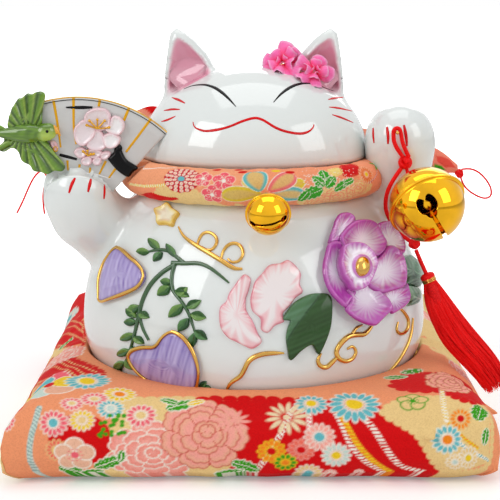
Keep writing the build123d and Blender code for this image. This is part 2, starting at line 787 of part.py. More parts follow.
# --- Bells --------------------------------------------------------------------------------------------
def bell_half(radius, sheet, flange, lip):
    """Upper half of a pressed bell about its own middle, with half of the flange at the joint."""
    with BuildPart() as half:
        with BuildSketch(Plane.XZ):
            with BuildLine():
                Line((radius - sheet, 0), (radius + flange, 0))
                Line((radius + flange, 0), (radius + flange, lip))
                Line((radius + flange, lip), (sqrt(radius**2 - lip**2), lip))
                RadiusArc((sqrt(radius**2 - lip**2), lip), (0, radius), -radius)
                Line((0, radius), (0, radius - sheet))
                RadiusArc((0, radius - sheet), (radius - sheet, 0), radius - sheet)
            make_face()
        revolve(axis=Axis.Z)
    return half.part


def shank_ring(radius, ring_radius, wire):
    """Wire eye on top of a bell, standing in the plane across its X axis."""
    with BuildPart() as ring:
        with Locations(Location((0, 0, radius + ring_radius - wire / 2), (0, 90, 0))):
            Torus(ring_radius, wire / 2)
        Sphere(radius, mode=Mode.SUBTRACT)
    return ring.part


collar_bell_place = Plane(origin=(9.6, -125.5, 182), x_dir=(0.97, 0, 0.2), z_dir=(0, 0.926, 0.37))
collar_eye_radius = 2.6
collar_eye_wire = 1.6
big_bell_place = Plane(origin=big_bell_middle, x_dir=(0.76, 0, -0.65), z_dir=(-0.09, 0.946, 0.315))
big_eye_radius = 3.4
big_eye_wire = 2.0
bell_sheet = 1.2
bell_lip = 0.9
pellet_share = 0.24

collar_bell_flange = 1.1
collar_bell_lip = 0.63
collar_bell_slit = 2.2
small_half = bell_half(collar_bell_radius, bell_sheet, collar_bell_flange, collar_bell_lip)
small_lower_form = mirror(small_half, about=Plane.XY)
with BuildPart() as collar_bell_lower:
    add(small_lower_form)
    with BuildSketch(Plane.XY.offset(-collar_bell_radius - 1)):
        SlotCenterToCenter(1.5 * collar_bell_radius, collar_bell_slit)
    extrude(amount=collar_bell_radius, mode=Mode.SUBTRACT)

big_half = bell_half(big_bell_radius, bell_sheet, bell_flange, bell_lip)
big_lower_form = mirror(big_half, about=Plane.XY)
with BuildPart() as big_bell_lower:
    add(big_lower_form)
    with BuildSketch(Plane.XY.offset(-big_bell_radius - 1)):
        with Locations((-4.2, 1.8), (-0.6, 4.8)):
            Circle(3.3)
        with Locations((-1.5, 2.2)):
            Circle(3.0)
        with Locations((8.5, 0)):
            SlotOverall(22, 3.0)
    extrude(amount=0.7 * big_bell_radius, mode=Mode.SUBTRACT)


def pellet(place, radius):
    """Loose ball at rest on the inside of a bell."""
    ball = pellet_share * radius
    with BuildPart() as loose:
        with Locations(place.origin - Vector(0, 0, radius - bell_sheet - ball - seat_gap)):
            Sphere(ball)
    return loose.part


def stand(part, place):
    """Move a piece from its own frame to its place."""
    return part.moved(place.location)


collar_eye = shank_ring(collar_bell_radius, collar_eye_radius, collar_eye_wire)
big_eye = shank_ring(big_bell_radius, big_eye_radius, big_eye_wire)
write(stand(small_half, collar_bell_place), "collar_bell_upper")
write(stand(collar_bell_lower.part, collar_bell_place), "collar_bell_lower")
write(stand(collar_eye, collar_bell_place), "collar_bell_eye")
write(pellet(collar_bell_place, collar_bell_radius), "collar_bell_pellet")
write(stand(big_half, big_bell_place), "big_bell_upper")
write(stand(big_bell_lower.part, big_bell_place), "big_bell_lower")
write(stand(big_eye, big_bell_place), "big_bell_eye")
write(pellet(big_bell_place, big_bell_radius), "big_bell_pellet")

collar_pivot = collar_bell_place.offset(collar_bell_radius + collar_eye_radius - collar_eye_wire / 2).origin
big_pivot = big_bell_place.offset(big_bell_radius + big_eye_radius - big_eye_wire / 2).origin

stitch_half = 4.5
stitch_depth = 8.0
stitch_diameter = 1.2
stitch_form = tube(
    [
        collar_pivot + Vector(-stitch_half, stitch_depth, 0),
        collar_pivot + Vector(-stitch_half, 0, 0),
        collar_pivot + Vector(stitch_half, 0, 0),
        collar_pivot + Vector(stitch_half, stitch_depth, 0),
    ],
    stitch_diameter,
)
with BuildPart() as collar_stitch:
    add(stitch_form)
    add(collar_pieces[-1], mode=Mode.SUBTRACT)
write(collar_stitch.part.solids().sort_by(SortBy.VOLUME)[-1], "collar_bell_stitch")

# --- Cords and tassel ---------------------------------------------------------------------------------
pin_place = Vector(106, -57.5, 232)
pin_diameter = 1.5
pin_length = 20.0
pin_head = 1.3
pin_proud = 3.0  # the pin stands this far in front of the strands' plane
knot_radius = 5.0
lower_knot_radius = 4.4
knot_clearance = 1.6  # the knot swings clear of the arm behind it
knot_place = Vector(113, -53.5, 209)
lower_knot_place = Vector(121, -57, 148)
pin_plane = Plane(origin=pin_place - Vector(0, pin_proud, 0), x_dir=(1, 0, 0), z_dir=(0, 1, 0))
with BuildPart() as bell_pin:
    with BuildSketch(pin_plane):
        Circle(pin_diameter / 2)
    extrude(amount=pin_length)
    with Locations(pin_plane.origin):
        Sphere(pin_head)
    add(left_arm_form, mode=Mode.SUBTRACT)
bell_pin_piece = bell_pin.part.solids().sort_by(Axis.Y)[0]
write(bell_pin_piece, "bell_pin")

loop_route = [
    (111, -55.0, 213.5), (104.2, -57.5, 222), (103.1, -57.5, 231.6), (104.3, -57.5, 235),
    (107.7, -57.5, 235), (108.9, -57.5, 231.6), (110.6, -57.5, 222), (115.5, -55.0, 213.5),
]
side_route = [
    (110.0, -54.0, 204.5), (103.5, -56, 196), (99.0, -53, 184), (99.5, -49, 171), (106, -47.5, 160),
    (113, -50.5, 152.5), (118.5, -55, 149.2),
]
eye_route = [
    (114.5, -52.5, 204.3), (115.2, -53.8, 198.5), (116.6, -54.8, 193.6),
    (120.5, big_pivot.Y, big_pivot.Z), (130.5, big_pivot.Y, big_pivot.Z + 0.3),
]
tie_rows = {
    "tie_cord_right": [
        (177.5, 80, 186.5), (184, 81, 187.5), (192, 82, 184.5), (199, 83, 178), (204, 83.5, 170),
        (204.5, 84, 163), (199.5, 84, 160.5), (192, 83, 163), (184, 82, 168), (178.5, 81, 174.5),
        (176.5, 80, 181.5),
    ],
    "tie_cord_left": [
        (-177.5, 80, 186.5), (-183, 81, 185), (-189, 82, 178), (-194, 83, 168), (-199, 84, 157),
        (-204, 85, 148),
    ],
    "tie_cord_left_inner": [
        (-176, 80, 182.5), (-178, 81.5, 176), (-180.5, 82.5, 167), (-181, 83, 157), (-180, 83.5, 147.5),
    ],
}
cords = {
    "bell_cord_loop": tube(loop_route, cord_diameter),
    "bell_cord_side": tube(side_route, cord_diameter),
    "bell_cord_eye": tube(eye_route, cord_diameter * 0.8),
}
for name, route in tie_rows.items():
    cords[name] = tube(route, thread_diameter)
tassel_route = [(122, -58.2, 143.5), (125.5, -60, 135), (130, -61.6, 125.5)]
cords["tassel_cord"] = tube(tassel_route, cord_diameter)
knot_swing_room = left_arm_form.moved(Location((0, -knot_clearance, 0)))
knot_cutters = [cords["bell_cord_loop"], cords["bell_cord_side"], cords["bell_cord_eye"], knot_swing_room]
with BuildPart() as cord_knot:
    with Locations(knot_place):
        Sphere(knot_radius)
    add(knot_cutters, mode=Mode.SUBTRACT)
with BuildPart() as cord_knot_lower:
    with Locations(lower_knot_place):
        Sphere(lower_knot_radius)
    add(cords["bell_cord_side"], mode=Mode.SUBTRACT)
write(cord_knot.part.solids().sort_by(SortBy.VOLUME)[-1], "cord_knot")
write(cord_knot_lower.part.solids().sort_by(SortBy.VOLUME)[-1], "cord_knot_lower")
for name, cord in cords.items():
    write(cord, name)

cap_radius = 5.6
cap_length = 6.2
cap_round = 2.2
tassel_rows = [
    ((132.5, -62.5, 118.5), 5.8, (0.5, -0.15, -1)),
    ((137, -64, 108), 8.2, (0.5, -0.1, -1)),
    ((145, -66, 92), 9.6, (0.6, -0.1, -1)),
    ((156, -68, 76), 10.6, (0.8, -0.1, -1)),
    ((170, -70, 62), 11.0, (0.9, -0.1, -1)),
    ((181, -72, 48), 10.0, (0.7, -0.1, -1)),
    ((185.5, -73, 38), 8.0, (0.3, 0, -1)),
]
cap_travel = Vector(0.45, -0.12, -1).normalized()
with BuildPart() as tassel_cap:
    with BuildSketch(Plane(origin=Vector(130, -61.6, 125.5), z_dir=cap_travel)):
        Circle(cap_radius)
    extrude(amount=cap_length)
    fillet(tassel_cap.edges().sort_by(Axis.Z)[-1:], cap_round)
write(tassel_cap.part, "tassel_cap")
tassel_skirt_form = rounded_loft(tassel_rows)
with BuildPart() as tassel_skirt:
    add(tassel_skirt_form)
    add(tassel_cap.part, mode=Mode.SUBTRACT)
write(tassel_skirt.part.solids().sort_by(SortBy.VOLUME)[-1], "tassel_skirt")

# --- Silk flowers in the hair -------------------------------------------------------------------------
silk_wall = 1.2
silk_rosettes = [  # middle, facing, size, petals, first heading
    ((22, -14, 281), (-0.25, -0.8, 0.55), 17, 6, 20),
    ((46, -20, 275), (0.35, -0.85, 0.4), 14, 5, 50),
]
silk_petals = []
for middle, facing, size, count, first in silk_rosettes:
    rosette_plane = Plane(origin=middle, z_dir=facing)
    for number in range(count):
        heading = radians(first + number * 360 / count)
        spot = (0.55 * size * cos(heading), 0.55 * size * sin(heading))
        seat = petal_seat(rosette_plane, spot, 28)
        silk_petals.append(cupped_petal(seat, 0.56 * size, 0.5 * size, 0.8 * size, silk_wall))
silk_stalk_left = tube([(23, -10, 268), (22.8, -11.5, 275), (22, -13, 280)], 3)
silk_stalk_right = tube([(43, -16, 260), (44, -17.5, 267), (46, -19, 274)], 3)
with BuildPart() as hair_flowers:
    add(silk_petals)
    for middle, facing, size, count, first in silk_rosettes:
        with Locations(middle):
            Sphere(0.3 * size)
    add([silk_stalk_left, silk_stalk_right])
    add([head_shell.part, head_skin], mode=Mode.SUBTRACT)
write(hair_flowers.part, "hair_flowers")

# --- Cushion ------------------------------------------------------------------------------------------
cushion_rows = [  # height, half size, how far the sides pull in, lean upwards to the back in degrees
    (0, 152, 6, 0),
    (12, 166, cushion_draw, 0),
    (26, cushion_half, cushion_draw, 0.8),
    (40, 163, cushion_draw, 2),
    (49, 148, cushion_draw, 3),
]
with BuildPart() as rim_clear:
    add(belly_form(motif_gap))
    split(bisect_by=Plane.XY.offset(cushion_rim), keep=Keep.TOP)


def cushion_section(height, half, draw, lean):
    """Square with drawn-in sides at a height, leaning upwards to the back."""
    corners = [(-half, -half), (half, -half), (half, half), (-half, half)]
    normal = (0, -sin(radians(lean)), cos(radians(lean)))
    with BuildSketch(Plane(origin=(0, 0, height), x_dir=(1, 0, 0), z_dir=normal)) as section:
        with BuildLine():
            for corner, following in zip(corners, corners[1:] + corners[:1]):
                middle = (Vector(*corner) + Vector(*following)) / 2
                ThreePointArc(corner, middle - middle.normalized() * draw, following)
        make_face()
    return section.sketch


cushion_sections = [cushion_section(*row) for row in cushion_rows]
with BuildPart() as cushion:
    add(cushion_sections)
    loft()
    add([belly_clear, rim_clear.part], mode=Mode.SUBTRACT)
write(cushion.part, "cushion")
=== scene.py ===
"""Beckoning cat figurine on its cushion: the finished look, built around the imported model."""

from math import asin, cos, hypot, log, pi, radians, sin, sqrt

import bmesh
import bpy
import numpy as np
from mathutils import Matrix, Vector


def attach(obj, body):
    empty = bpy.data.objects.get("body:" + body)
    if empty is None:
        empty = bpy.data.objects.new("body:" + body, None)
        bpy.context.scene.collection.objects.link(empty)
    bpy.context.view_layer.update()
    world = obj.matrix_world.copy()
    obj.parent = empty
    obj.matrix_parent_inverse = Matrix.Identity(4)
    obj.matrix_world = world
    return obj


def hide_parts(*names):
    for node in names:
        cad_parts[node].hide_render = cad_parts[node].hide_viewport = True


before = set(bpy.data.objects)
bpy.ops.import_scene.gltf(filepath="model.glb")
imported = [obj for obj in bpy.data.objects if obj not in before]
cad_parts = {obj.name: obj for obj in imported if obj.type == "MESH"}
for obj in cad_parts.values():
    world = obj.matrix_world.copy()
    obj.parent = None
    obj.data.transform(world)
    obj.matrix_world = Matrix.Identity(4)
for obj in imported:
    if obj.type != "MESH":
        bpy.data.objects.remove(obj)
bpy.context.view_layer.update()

MM = 0.001


# ---------------------------------------------------------------- finishes
class Wire:
    """A node's output that takes part in arithmetic by adding Math nodes."""

    def __init__(self, tree, socket):
        self.tree = tree
        self.socket = socket

    def maths(self, operation, other):
        return self.tree.node("ShaderNodeMath", {"operation": operation}, {0: self, 1: other})

    def __add__(self, other):
        return self.maths("ADD", other)

    def __mul__(self, other):
        return self.maths("MULTIPLY", other)

    __radd__ = __add__
    __rmul__ = __mul__

    def within(self, low, high):
        """0 below low, 1 above high and a smooth step between."""
        settings = {"interpolation_type": "SMOOTHSTEP"}
        return self.tree.node("ShaderNodeMapRange", settings,
                              {"Value": self, "From Min": low, "From Max": high})


class Nodes:
    """The node tree of a material or a world, and the shader that shows."""

    def __init__(self, owner, shader_type):
        owner.use_nodes = True
        self.tree = owner.node_tree
        self.shader = next(n for n in self.tree.nodes if n.type == shader_type)

    def set(self, key, value):
        """Give a socket of the shader a value or a wire."""
        self.feed(self.shader.inputs[key], value)

    def feed(self, socket, value):
        if isinstance(value, Wire):
            self.tree.links.new(value.socket, socket)
        elif hasattr(value, "__len__") and len(value) == 3 and socket.type == "RGBA":
            socket.default_value = (*value, 1.0)
        else:
            socket.default_value = value

    def node(self, kind, settings=(), inputs=(), output=0):
        """A node of a kind: its settings, then the values or wires of its sockets, and one of its outputs."""
        made = self.tree.nodes.new(kind)
        for key, value in dict(settings).items():
            if key == "stops":
                ramp = made.color_ramp
                while len(ramp.elements) < len(value):
                    ramp.elements.new(0.5)
                for stop, (place, colour) in zip(ramp.elements, value):
                    stop.position = place
                    stop.color = (*colour, 1.0)
            else:
                setattr(made, key, value)
        for key, value in dict(inputs).items():
            self.feed(made.inputs[key], value)
        return Wire(self, made.outputs[output])


class Finish(Nodes):
    """A material for this object, with its Principled shader and the nodes that feed it."""

    def __init__(self, name, **shader):
        self.material = bpy.data.materials.new(name)
        super().__init__(self.material, "BSDF_PRINCIPLED")
        for key, value in shader.items():
            self.set(key.replace("_", " "), value)

    def place(self):
        """Object coordinates in metres."""
        return self.node("ShaderNodeTexCoord", output="Object")

    def noise(self, scale, detail=3.0, where=None):
        inputs = {"Vector": where or self.place(), "Scale": scale, "Detail": detail}
        return self.node("ShaderNodeTexNoise", inputs=inputs)

    def painted(self):
        """The colour attribute painted on a piece."""
        return self.node("ShaderNodeVertexColor", {"layer_name": "paint"})

    def mix(self, share, first, second, way="MIX"):
        """Colour mix from first to second."""
        settings = {"data_type": "RGBA", "blend_type": way}
        return self.node("ShaderNodeMix", settings, {"Factor": share, 6: first, 7: second}, output=2)

    def bump(self, height, strength, distance):
        inputs = {"Height": height, "Strength": strength, "Distance": distance}
        self.set("Normal", self.node("ShaderNodeBump", inputs=inputs))


def glaze(name, colour=None, roughness=0.07, coat=0.6, ripple=0.02, index=1.52):
    """Fired glaze: glossy, with the faint ripple and tone of brushed enamel."""
    finish = Finish(name, Roughness=roughness, Coat_Weight=coat, Coat_Roughness=0.03, IOR=index)
    tone = finish.noise(55.0).within(0.3, 0.7)
    if colour is None:
        source = finish.painted()
    else:
        darker = tuple(0.86 * part for part in colour)
        source = finish.mix(tone, darker, colour)
    finish.set("Base Color", source)
    finish.set("Roughness", roughness + 0.04 * tone)
    finish.bump(finish.noise(38.0, 1.0), ripple, 0.002)
    return finish.material


def gilding(name, colour, roughness, wear):
    """Metal that mirrors the room, a little rougher where it is handled."""
    finish = Finish(name, Metallic=1.0)
    tone = finish.noise(70.0, 4.0).within(0.35, 0.75)
    finish.set("Base Color", finish.mix(tone, colour, tuple(0.82 * part for part in colour)))
    finish.set("Roughness", roughness + wear * tone)
    finish.bump(finish.noise(160.0, 2.0), 0.03, 0.0006)
    return finish.material


def crepe(name):
    """Printed crepe: a matt cloth with the small irregular puckers of twisted yarn, its print painted darker
    in the hollows of the puckers as shade.
    """
    finish = Finish(name, Roughness=0.85, Sheen_Weight=0.04, Sheen_Roughness=0.5, Specular_IOR_Level=0.15)
    where = finish.place()
    pucker = finish.noise(620.0, 2.0, where)
    yarn = finish.node("ShaderNodeTexVoronoi", {"feature": "F1"}, {"Vector": where, "Scale": 900.0})
    grain = pucker * 0.7 + yarn * 0.5
    # painted shade: the print is darkened where the pucker and yarn grain that makes the bump is low
    dark = finish.mix(grain.within(0.25, 0.8), (0.84, 0.80, 0.78), (1.0, 1.0, 1.0))
    finish.set("Base Color", finish.mix(0.75, finish.painted(), dark, "MULTIPLY"))
    finish.bump(grain, 0.55, 0.0007)
    return finish.material


def thread(name, colour, shine=0.35, scale=1500.0, depth=0.68):
    """Silk thread or cord: fine strands with a sheen weight set by shine, their colour painted darker in the
    grooves as shade and lighter on the crests as sheen.
    """
    finish = Finish(name, Roughness=0.5, Sheen_Weight=shine, Sheen_Roughness=0.35, Specular_IOR_Level=0.2)
    strands = finish.noise(scale, 2.0)
    # painted sheen on the crests of the strands and painted shade in their grooves, by the noise that also
    # makes the bump
    lighter = tuple(min(1.0, 1.25 * part + 0.02) for part in colour)
    darker = tuple(depth * part for part in colour)
    ramp = {"stops": [(0.30, darker), (0.52, colour), (0.78, lighter)]}
    finish.set("Base Color", finish.node("ShaderNodeValToRGB", ramp, {"Fac": strands}))
    finish.bump(strands, 0.5, 0.0005)
    return finish.material


def closed_out(target):
    """Point the faces of finished closed pieces outwards."""
    bmesh.ops.recalc_face_normals(target, faces=target.faces)
    return target


def mesh_of(name, shape):
    """Mesh of a finished bmesh."""
    mesh = bpy.data.meshes.new(name)
    shape.to_mesh(mesh)
    shape.free()
    return mesh


def linked(name, data):
    """Object of the scene that holds some data."""
    made = bpy.data.objects.new(name, data)
    bpy.context.scene.collection.objects.link(made)
    return made


def stand_for(made, body, *replaced):
    """Let a piece ride on a body and stand for CAD nodes, which are hidden."""
    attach(made, body)
    if replaced:
        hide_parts(*replaced)
    return made


def piece(name, source, material, body, *replaced):
    """Put a mesh into the scene as a named piece that rides on a body and stands for CAD nodes."""
    if isinstance(source, bmesh.types.BMesh):
        mesh = mesh_of(name, closed_out(source))
    else:
        mesh = source
        mesh.name = name
    mesh.materials.clear()
    mesh.materials.append(material)
    mesh.shade_smooth()
    return stand_for(linked(name, mesh), body, *replaced)


def points_of(mesh):
    """Vertex positions in millimetres."""
    flat = np.empty(len(mesh.vertices) * 3)
    mesh.vertices.foreach_get("co", flat)
    return flat.reshape(-1, 3) / MM


def move_points(mesh, points):
    mesh.vertices.foreach_set("co", (points * MM).ravel())
    mesh.update()


def paint(mesh, colours):
    """Colour attribute from one linear colour a vertex."""
    layer = mesh.color_attributes.new("paint", "FLOAT_COLOR", "POINT")
    full = np.ones((len(colours), 4))
    full[:, :3] = np.clip(colours, 0.0, 1.0)
    layer.data.foreach_set("color", full.ravel())


def settled(data, modifiers=()):
    """Mesh of some data with modifiers applied: rows of a kind and its settings."""
    holder = linked("holder", data)
    for kind, settings in modifiers:
        modifier = holder.modifiers.new(kind, kind)
        for key, value in settings.items():
            setattr(modifier, key, value)
    graph = bpy.context.evaluated_depsgraph_get()
    result = bpy.data.meshes.new_from_object(holder.evaluated_get(graph))
    bpy.data.objects.remove(holder)
    return result


def rgb(red, green, blue):
    """Linear colour from the 0 to 255 values of a paint chart."""
    return tuple(
        part / 12.92 if part <= 0.04045 else ((part + 0.055) / 1.055) ** 2.4
        for part in (red / 255, green / 255, blue / 255)
    )


# ---------------------------------------------------------------- forms of the castings, in millimetres
belly_radius = 136.0
belly_height = 80.0
roll_radius = 64.0
foot_height = 18.0
neck_height = 203.0
cheek_radius = 89.0
cheek_height = 210.0
neck_radius = 62.0
crown_rise = 69.0
head_depth = 0.86


def length(*parts):
    return np.sqrt(sum(part * part for part in parts))


def blend_min(first, second, reach):
    """Union of two distance fields with a fillet."""
    share = np.clip(0.5 + 0.5 * (second - first) / reach, 0, 1)
    return second * (1 - share) + first * share - reach * share * (1 - share)


def blend_max(first, second, reach):
    return -blend_min(-first, -second, reach)


def belly_field(p):
    """Distance outside the body without limbs: a sphere that rolls under to the foot."""
    x, y, z = p.T
    r = length(x, y)
    ball = length(r, z - belly_height) - belly_radius
    roll = length(np.maximum(r - (belly_radius - roll_radius), 0), z - belly_height) - roll_radius
    return np.where(z >= belly_height, ball, roll)


def limb_field(p, joints):
    """Distance outside a chain of balls joined by cones."""
    nearest = None
    for (a, ra), (b, rb) in zip(joints, joints[1:]):
        a, b = np.array(a), np.array(b)
        share = np.clip((p - a) @ (b - a) / ((b - a) @ (b - a)), 0, 1)
        field = length(*(p - a - share[:, None] * (b - a)).T) - (ra + share * (rb - ra))
        nearest = field if nearest is None else blend_min(nearest, field, 8.0)
    return nearest


right_arm_joints = [
    ((-84, -10, 136), 24.5), ((-112, -27, 152), 26.5), ((-128, -38, 168), 25.6), ((-133, -42.5, 182), 24.8),
    ((-134, -44, 189), 24.4),
]
left_arm_joints = [
    ((80, -6, 146), 25), ((102, -14, 166), 25), ((111, -18, 184), 22.8), ((112, -22, 204), 23.2),
    ((112, -26, 220), 24.8), ((111.5, -27.5, 226), 24.6),
]
tail_joints = [((0, 112, 80), 15), ((0, 130, 82), 16), ((0, 141, 84), 15.5)]


fan_front = -47.0
fan_foot = 36.0
fan_hub = np.array((-132.0, 159.0))


def body_field(p):
    field = blend_max(belly_field(p), p[:, 2] - neck_height - 1.5, 2.0)
    before_fan = fan_front + 0.6 - p[:, 1]
    hidden_paw = np.minimum(before_fan, length(p[:, 0] - fan_hub[0], p[:, 2] - fan_hub[1]) - fan_foot
                            - 0.35 * before_fan)
    field = blend_min(field, blend_max(limb_field(p, right_arm_joints), hidden_paw, 2.0), 9.0)
    field = blend_min(field, limb_field(p, left_arm_joints), 9.0)
    field = blend_min(field, limb_field(p, tail_joints), 9.0)
    field = blend_max(field, foot_height - p[:, 2], 4.0)
    recess = np.maximum(length(p[:, 0], p[:, 1]) - 91, p[:, 2] - foot_height - 2)
    return blend_max(field, -recess, 1.5)


def dome_field(p):
    """Distance outside the head without ears, to first order."""
    x, y, z = p[:, 0], p[:, 1] / head_depth, p[:, 2] - cheek_height
    r = length(x, y)
    upper = length(r / cheek_radius, z / crown_rise) - 1
    tuck = cheek_height - neck_height
    lower = length(np.maximum(r - neck_radius, 0) / (cheek_radius - neck_radius), z / tuck) - 1
    return np.where(z >= 0, upper * crown_rise * 0.93, lower * tuck)


ear_rows = np.array([
    (228, -8.0, 22.5, 15.0), (240, -6.0, 22.5, 14.6), (250, -4.5, 23.5, 14.8), (262, -2.5, 22.5, 14.0),
    (275, -1.0, 20.0, 12.2), (288, 2.2, 15.0, 9.6), (298, 6.0, 9.8, 6.6), (303, 8.6, 6.0, 4.6),
    (307, 9.6, 0.4, 0.4),
])
ear_spread = 50.0


def ear_field(p, inset=0.0, forward=0.0, drop=0.0):
    """Distance outside both ears, to first order: elliptical rows that lean out to a rounded tip."""
    x = np.abs(p[:, 0])
    z = p[:, 2] + drop
    rows = [np.interp(z, ear_rows[:, 0], ear_rows[:, column]) for column in (1, 2, 3)]
    lean, half_width, half_depth = rows
    half_width = np.maximum(half_width - inset, 0.3)
    half_depth = np.maximum(half_depth - inset / 2, 0.3)
    across = (x - ear_spread - lean) / half_width
    along = (p[:, 1] + forward) / half_depth
    round_part = length(across, along)
    return np.maximum((round_part - 1) * half_depth, z - 307.0)


def ear_hollow_field(p):
    return ear_field(p, inset=3.4, forward=8.5, drop=4.5)


def head_field(p):
    ears = blend_max(ear_field(p), -ear_hollow_field(p), 2.5)
    return blend_min(dome_field(p), ears, 5.0)


def slope(field, p):
    """Unit direction in which a field grows."""
    step = 0.05
    parts = []
    for axis in range(3):
        nudge = np.zeros(3)
        nudge[axis] = step
        parts.append(field(p + nudge) - field(p - nudge))
    grown = np.stack(parts, 1) / (2 * step)
    size = np.maximum(length(*grown.T), 1e-3)
    return grown / size[:, None], size


def onto(field, p, lift=0.0, rounds=6):
    """Points moved straight onto the surface where a field is zero, and raised by a lift."""
    for _ in range(rounds):
        way, size = slope(field, p)
        p = p - way * np.clip((field(p) / size)[:, None], -3, 3)
    if np.any(lift):
        way, size = slope(field, p)
        p = p + way * np.reshape(lift, (-1, 1))
    return p


def neighbours_mean(mesh, points):
    """Mean of the linked vertices of each vertex."""
    ends = np.empty(len(mesh.edges) * 2, dtype=np.int64)
    mesh.edges.foreach_get("vertices", ends)
    ends = ends.reshape(-1, 2)
    total = np.zeros_like(points)
    count = np.zeros(len(points))
    for here, there in ((0, 1), (1, 0)):
        np.add.at(total, ends[:, here], points[ends[:, there]])
        np.add.at(count, ends[:, here], 1)
    return total / np.maximum(count, 1)[:, None]


def casting(name, rough, field, voxel):
    """Even mesh of a cast form: rough primitives remeshed, relaxed and moved onto the form's field."""
    mesh = settled(mesh_of(name, rough), [("REMESH", {"mode": "VOXEL", "voxel_size": voxel * MM})])
    points = points_of(mesh)
    points = onto(field, points, rounds=10)
    for _ in range(8):
        points = onto(field, 0.4 * points + 0.6 * neighbours_mean(mesh, points), rounds=2)
    move_points(mesh, onto(field, points))
    return mesh


def ball(rough, centre, radius, stretch=(1, 1, 1)):
    place = Matrix.Translation(Vector(centre) * MM) @ Matrix.Diagonal((*stretch, 1))
    bmesh.ops.create_icosphere(rough, subdivisions=4, radius=radius * MM, matrix=place)


def chain(rough, joints):
    """Balls closely spaced along a limb, for the remesh to join."""
    for (a, ra), (b, rb) in zip(joints, joints[1:]):
        for share in (0, 0.33, 0.66, 1):
            ball(rough, Vector(a).lerp(Vector(b), share), ra + share * (rb - ra))


# ---------------------------------------------------------------- camera, room and lamps
picture_distance = 1.028
picture_height_angle = radians(11.0)
look_at = Vector((-0.003, 0.0, 0.132))
camera_data = bpy.data.cameras.new("camera")
camera_data.sensor_width = 36.0
camera_data.lens = 92.52
camera = linked("camera", camera_data)
camera.location = look_at + picture_distance * Vector((0, -cos(picture_height_angle),
                                                       sin(picture_height_angle)))
camera.rotation_euler = (pi / 2 - picture_height_angle, 0, 0)
bpy.context.scene.camera = camera


def lamp(name, place, target, size, power):
    data = bpy.data.lights.new(name, "AREA")
    data.shape = "RECTANGLE"
    data.size, data.size_y = size
    data.energy = power
    made = linked(name, data)
    made.location = place
    made.rotation_euler = (Vector(target) - Vector(place)).to_track_quat("-Z", "Y").to_euler()


lamp("lamp_left", (-1.3, -1.1, 1.2), (0, 0, 0.14), (0.9, 1.1), 11.0)
lamp("lamp_right", (1.35, -0.9, 1.0), (0, 0, 0.14), (0.8, 1.1), 6.0)
lamp("lamp_top", (0, 0.1, 1.7), (0, 0, 0.1), (1.3, 1.0), 5.4)
lamp("lamp_back", (0.3, 1.5, 1.1), (0, 0, 0.15), (1.2, 0.9), 6.0)

world = bpy.data.worlds.new("room")
bpy.context.scene.world = world
room = Nodes(world, "BACKGROUND")


def ray(kind):
    """1 for rays of a kind and 0 for others."""
    return room.node("ShaderNodeLightPath", output=kind)


looked_at = ray("Is Camera Ray").maths("MAXIMUM", ray("Is Transmission Ray"))
level = room.node("ShaderNodeMapRange", inputs={"Value": looked_at, "To Min": 0.47, "To Max": 1.0})
room.set("Strength", ray("Is Glossy Ray") * 0.45 + level)
room.set("Color", (1, 1, 1))
bpy.context.scene.view_settings.view_transform = "Standard"

floor_finish = Finish("floor_paper", Roughness=0.9)
floor_finish.set("Base Color", floor_finish.mix(floor_finish.noise(3.0), (0.90, 0.90, 0.90),
                                                (0.93, 0.93, 0.93)))
from_middle = floor_finish.node("ShaderNodeVectorMath", {"operation": "LENGTH"}, {0: floor_finish.place()},
                                output=1)
direct = floor_finish.node("ShaderNodeLightPath")
floor_finish.set("Emission Color", (1, 1, 1))
floor_finish.set("Emission Strength", direct * (0.22 + 0.9 * from_middle.within(0.30, 0.75)))
floor_mesh = bmesh.new()
bmesh.ops.create_grid(floor_mesh, x_segments=2, y_segments=2, size=60.0)
floor = linked("floor", mesh_of("floor", floor_mesh))
floor.data.materials.append(floor_finish.material)
floor.location.z = -0.0005

# ---------------------------------------------------------------- finishes of this object
white_glaze = glaze("white_glaze")
lustre = gilding("gold_lustre", rgb(224, 176, 92), 0.10, 0.10)
bell_metal = gilding("bell_metal", rgb(255, 190, 40), 0.035, 0.05)
black_enamel = glaze("black_enamel", rgb(3, 3, 5), 0.12, 0.0, index=1.3)
red_enamel = glaze("red_enamel", rgb(228, 6, 14), 0.12, 0.0, index=1.3)
printed_crepe = crepe("printed_crepe")
red_silk = thread("red_silk", rgb(255, 8, 10), 0.0, depth=0.86)

# ---------------------------------------------------------------- body, arms and tail
porcelain = np.array(rgb(231, 236, 234))
rough_body = bmesh.new()
ball(rough_body, (0, 0, belly_height), belly_radius)
chain(rough_body, right_arm_joints)
chain(rough_body, left_arm_joints)
chain(rough_body, tail_joints)
bmesh.ops.create_cone(
    rough_body, cap_ends=True, segments=96, radius1=0.115, radius2=0.134, depth=0.06,
    matrix=Matrix.Translation((0, 0, 0.052)),
)
body_mesh = casting("body", rough_body, body_field, 2.6)
paint(body_mesh, np.tile(porcelain, (len(body_mesh.vertices), 1)))
piece("body_and_limbs", body_mesh, white_glaze, "cat", "body_shell", "right_arm", "left_arm", "tail")

# ---------------------------------------------------------------- head with pink ears
rough_head = bmesh.new()
ball(rough_head, (0, 0, cheek_height + 1), 1, (cheek_radius, cheek_radius * head_depth, crown_rise))
for side in (-1, 1):
    for height, lean, half_width, half_depth in ear_rows[2:-1]:
        ball(rough_head, (side * (ear_spread + lean), 0, height), 1, (half_width, half_depth, 7))
head_mesh = casting("head", rough_head, head_field, 2.0)
head_points = points_of(head_mesh)
ear_tint = np.array(rgb(226, 150, 172))
in_hollow = np.clip(1 - ear_hollow_field(head_points) / 1.6, 0, 1) * np.clip((head_points[:, 2] - 254) / 10,
    0, 1)
in_hollow *= dome_field(head_points) > -1
head_colour = porcelain + in_hollow[:, None] * (ear_tint - porcelain)
paint(head_mesh, head_colour)
piece("head", head_mesh, white_glaze, "cat", "head_shell")


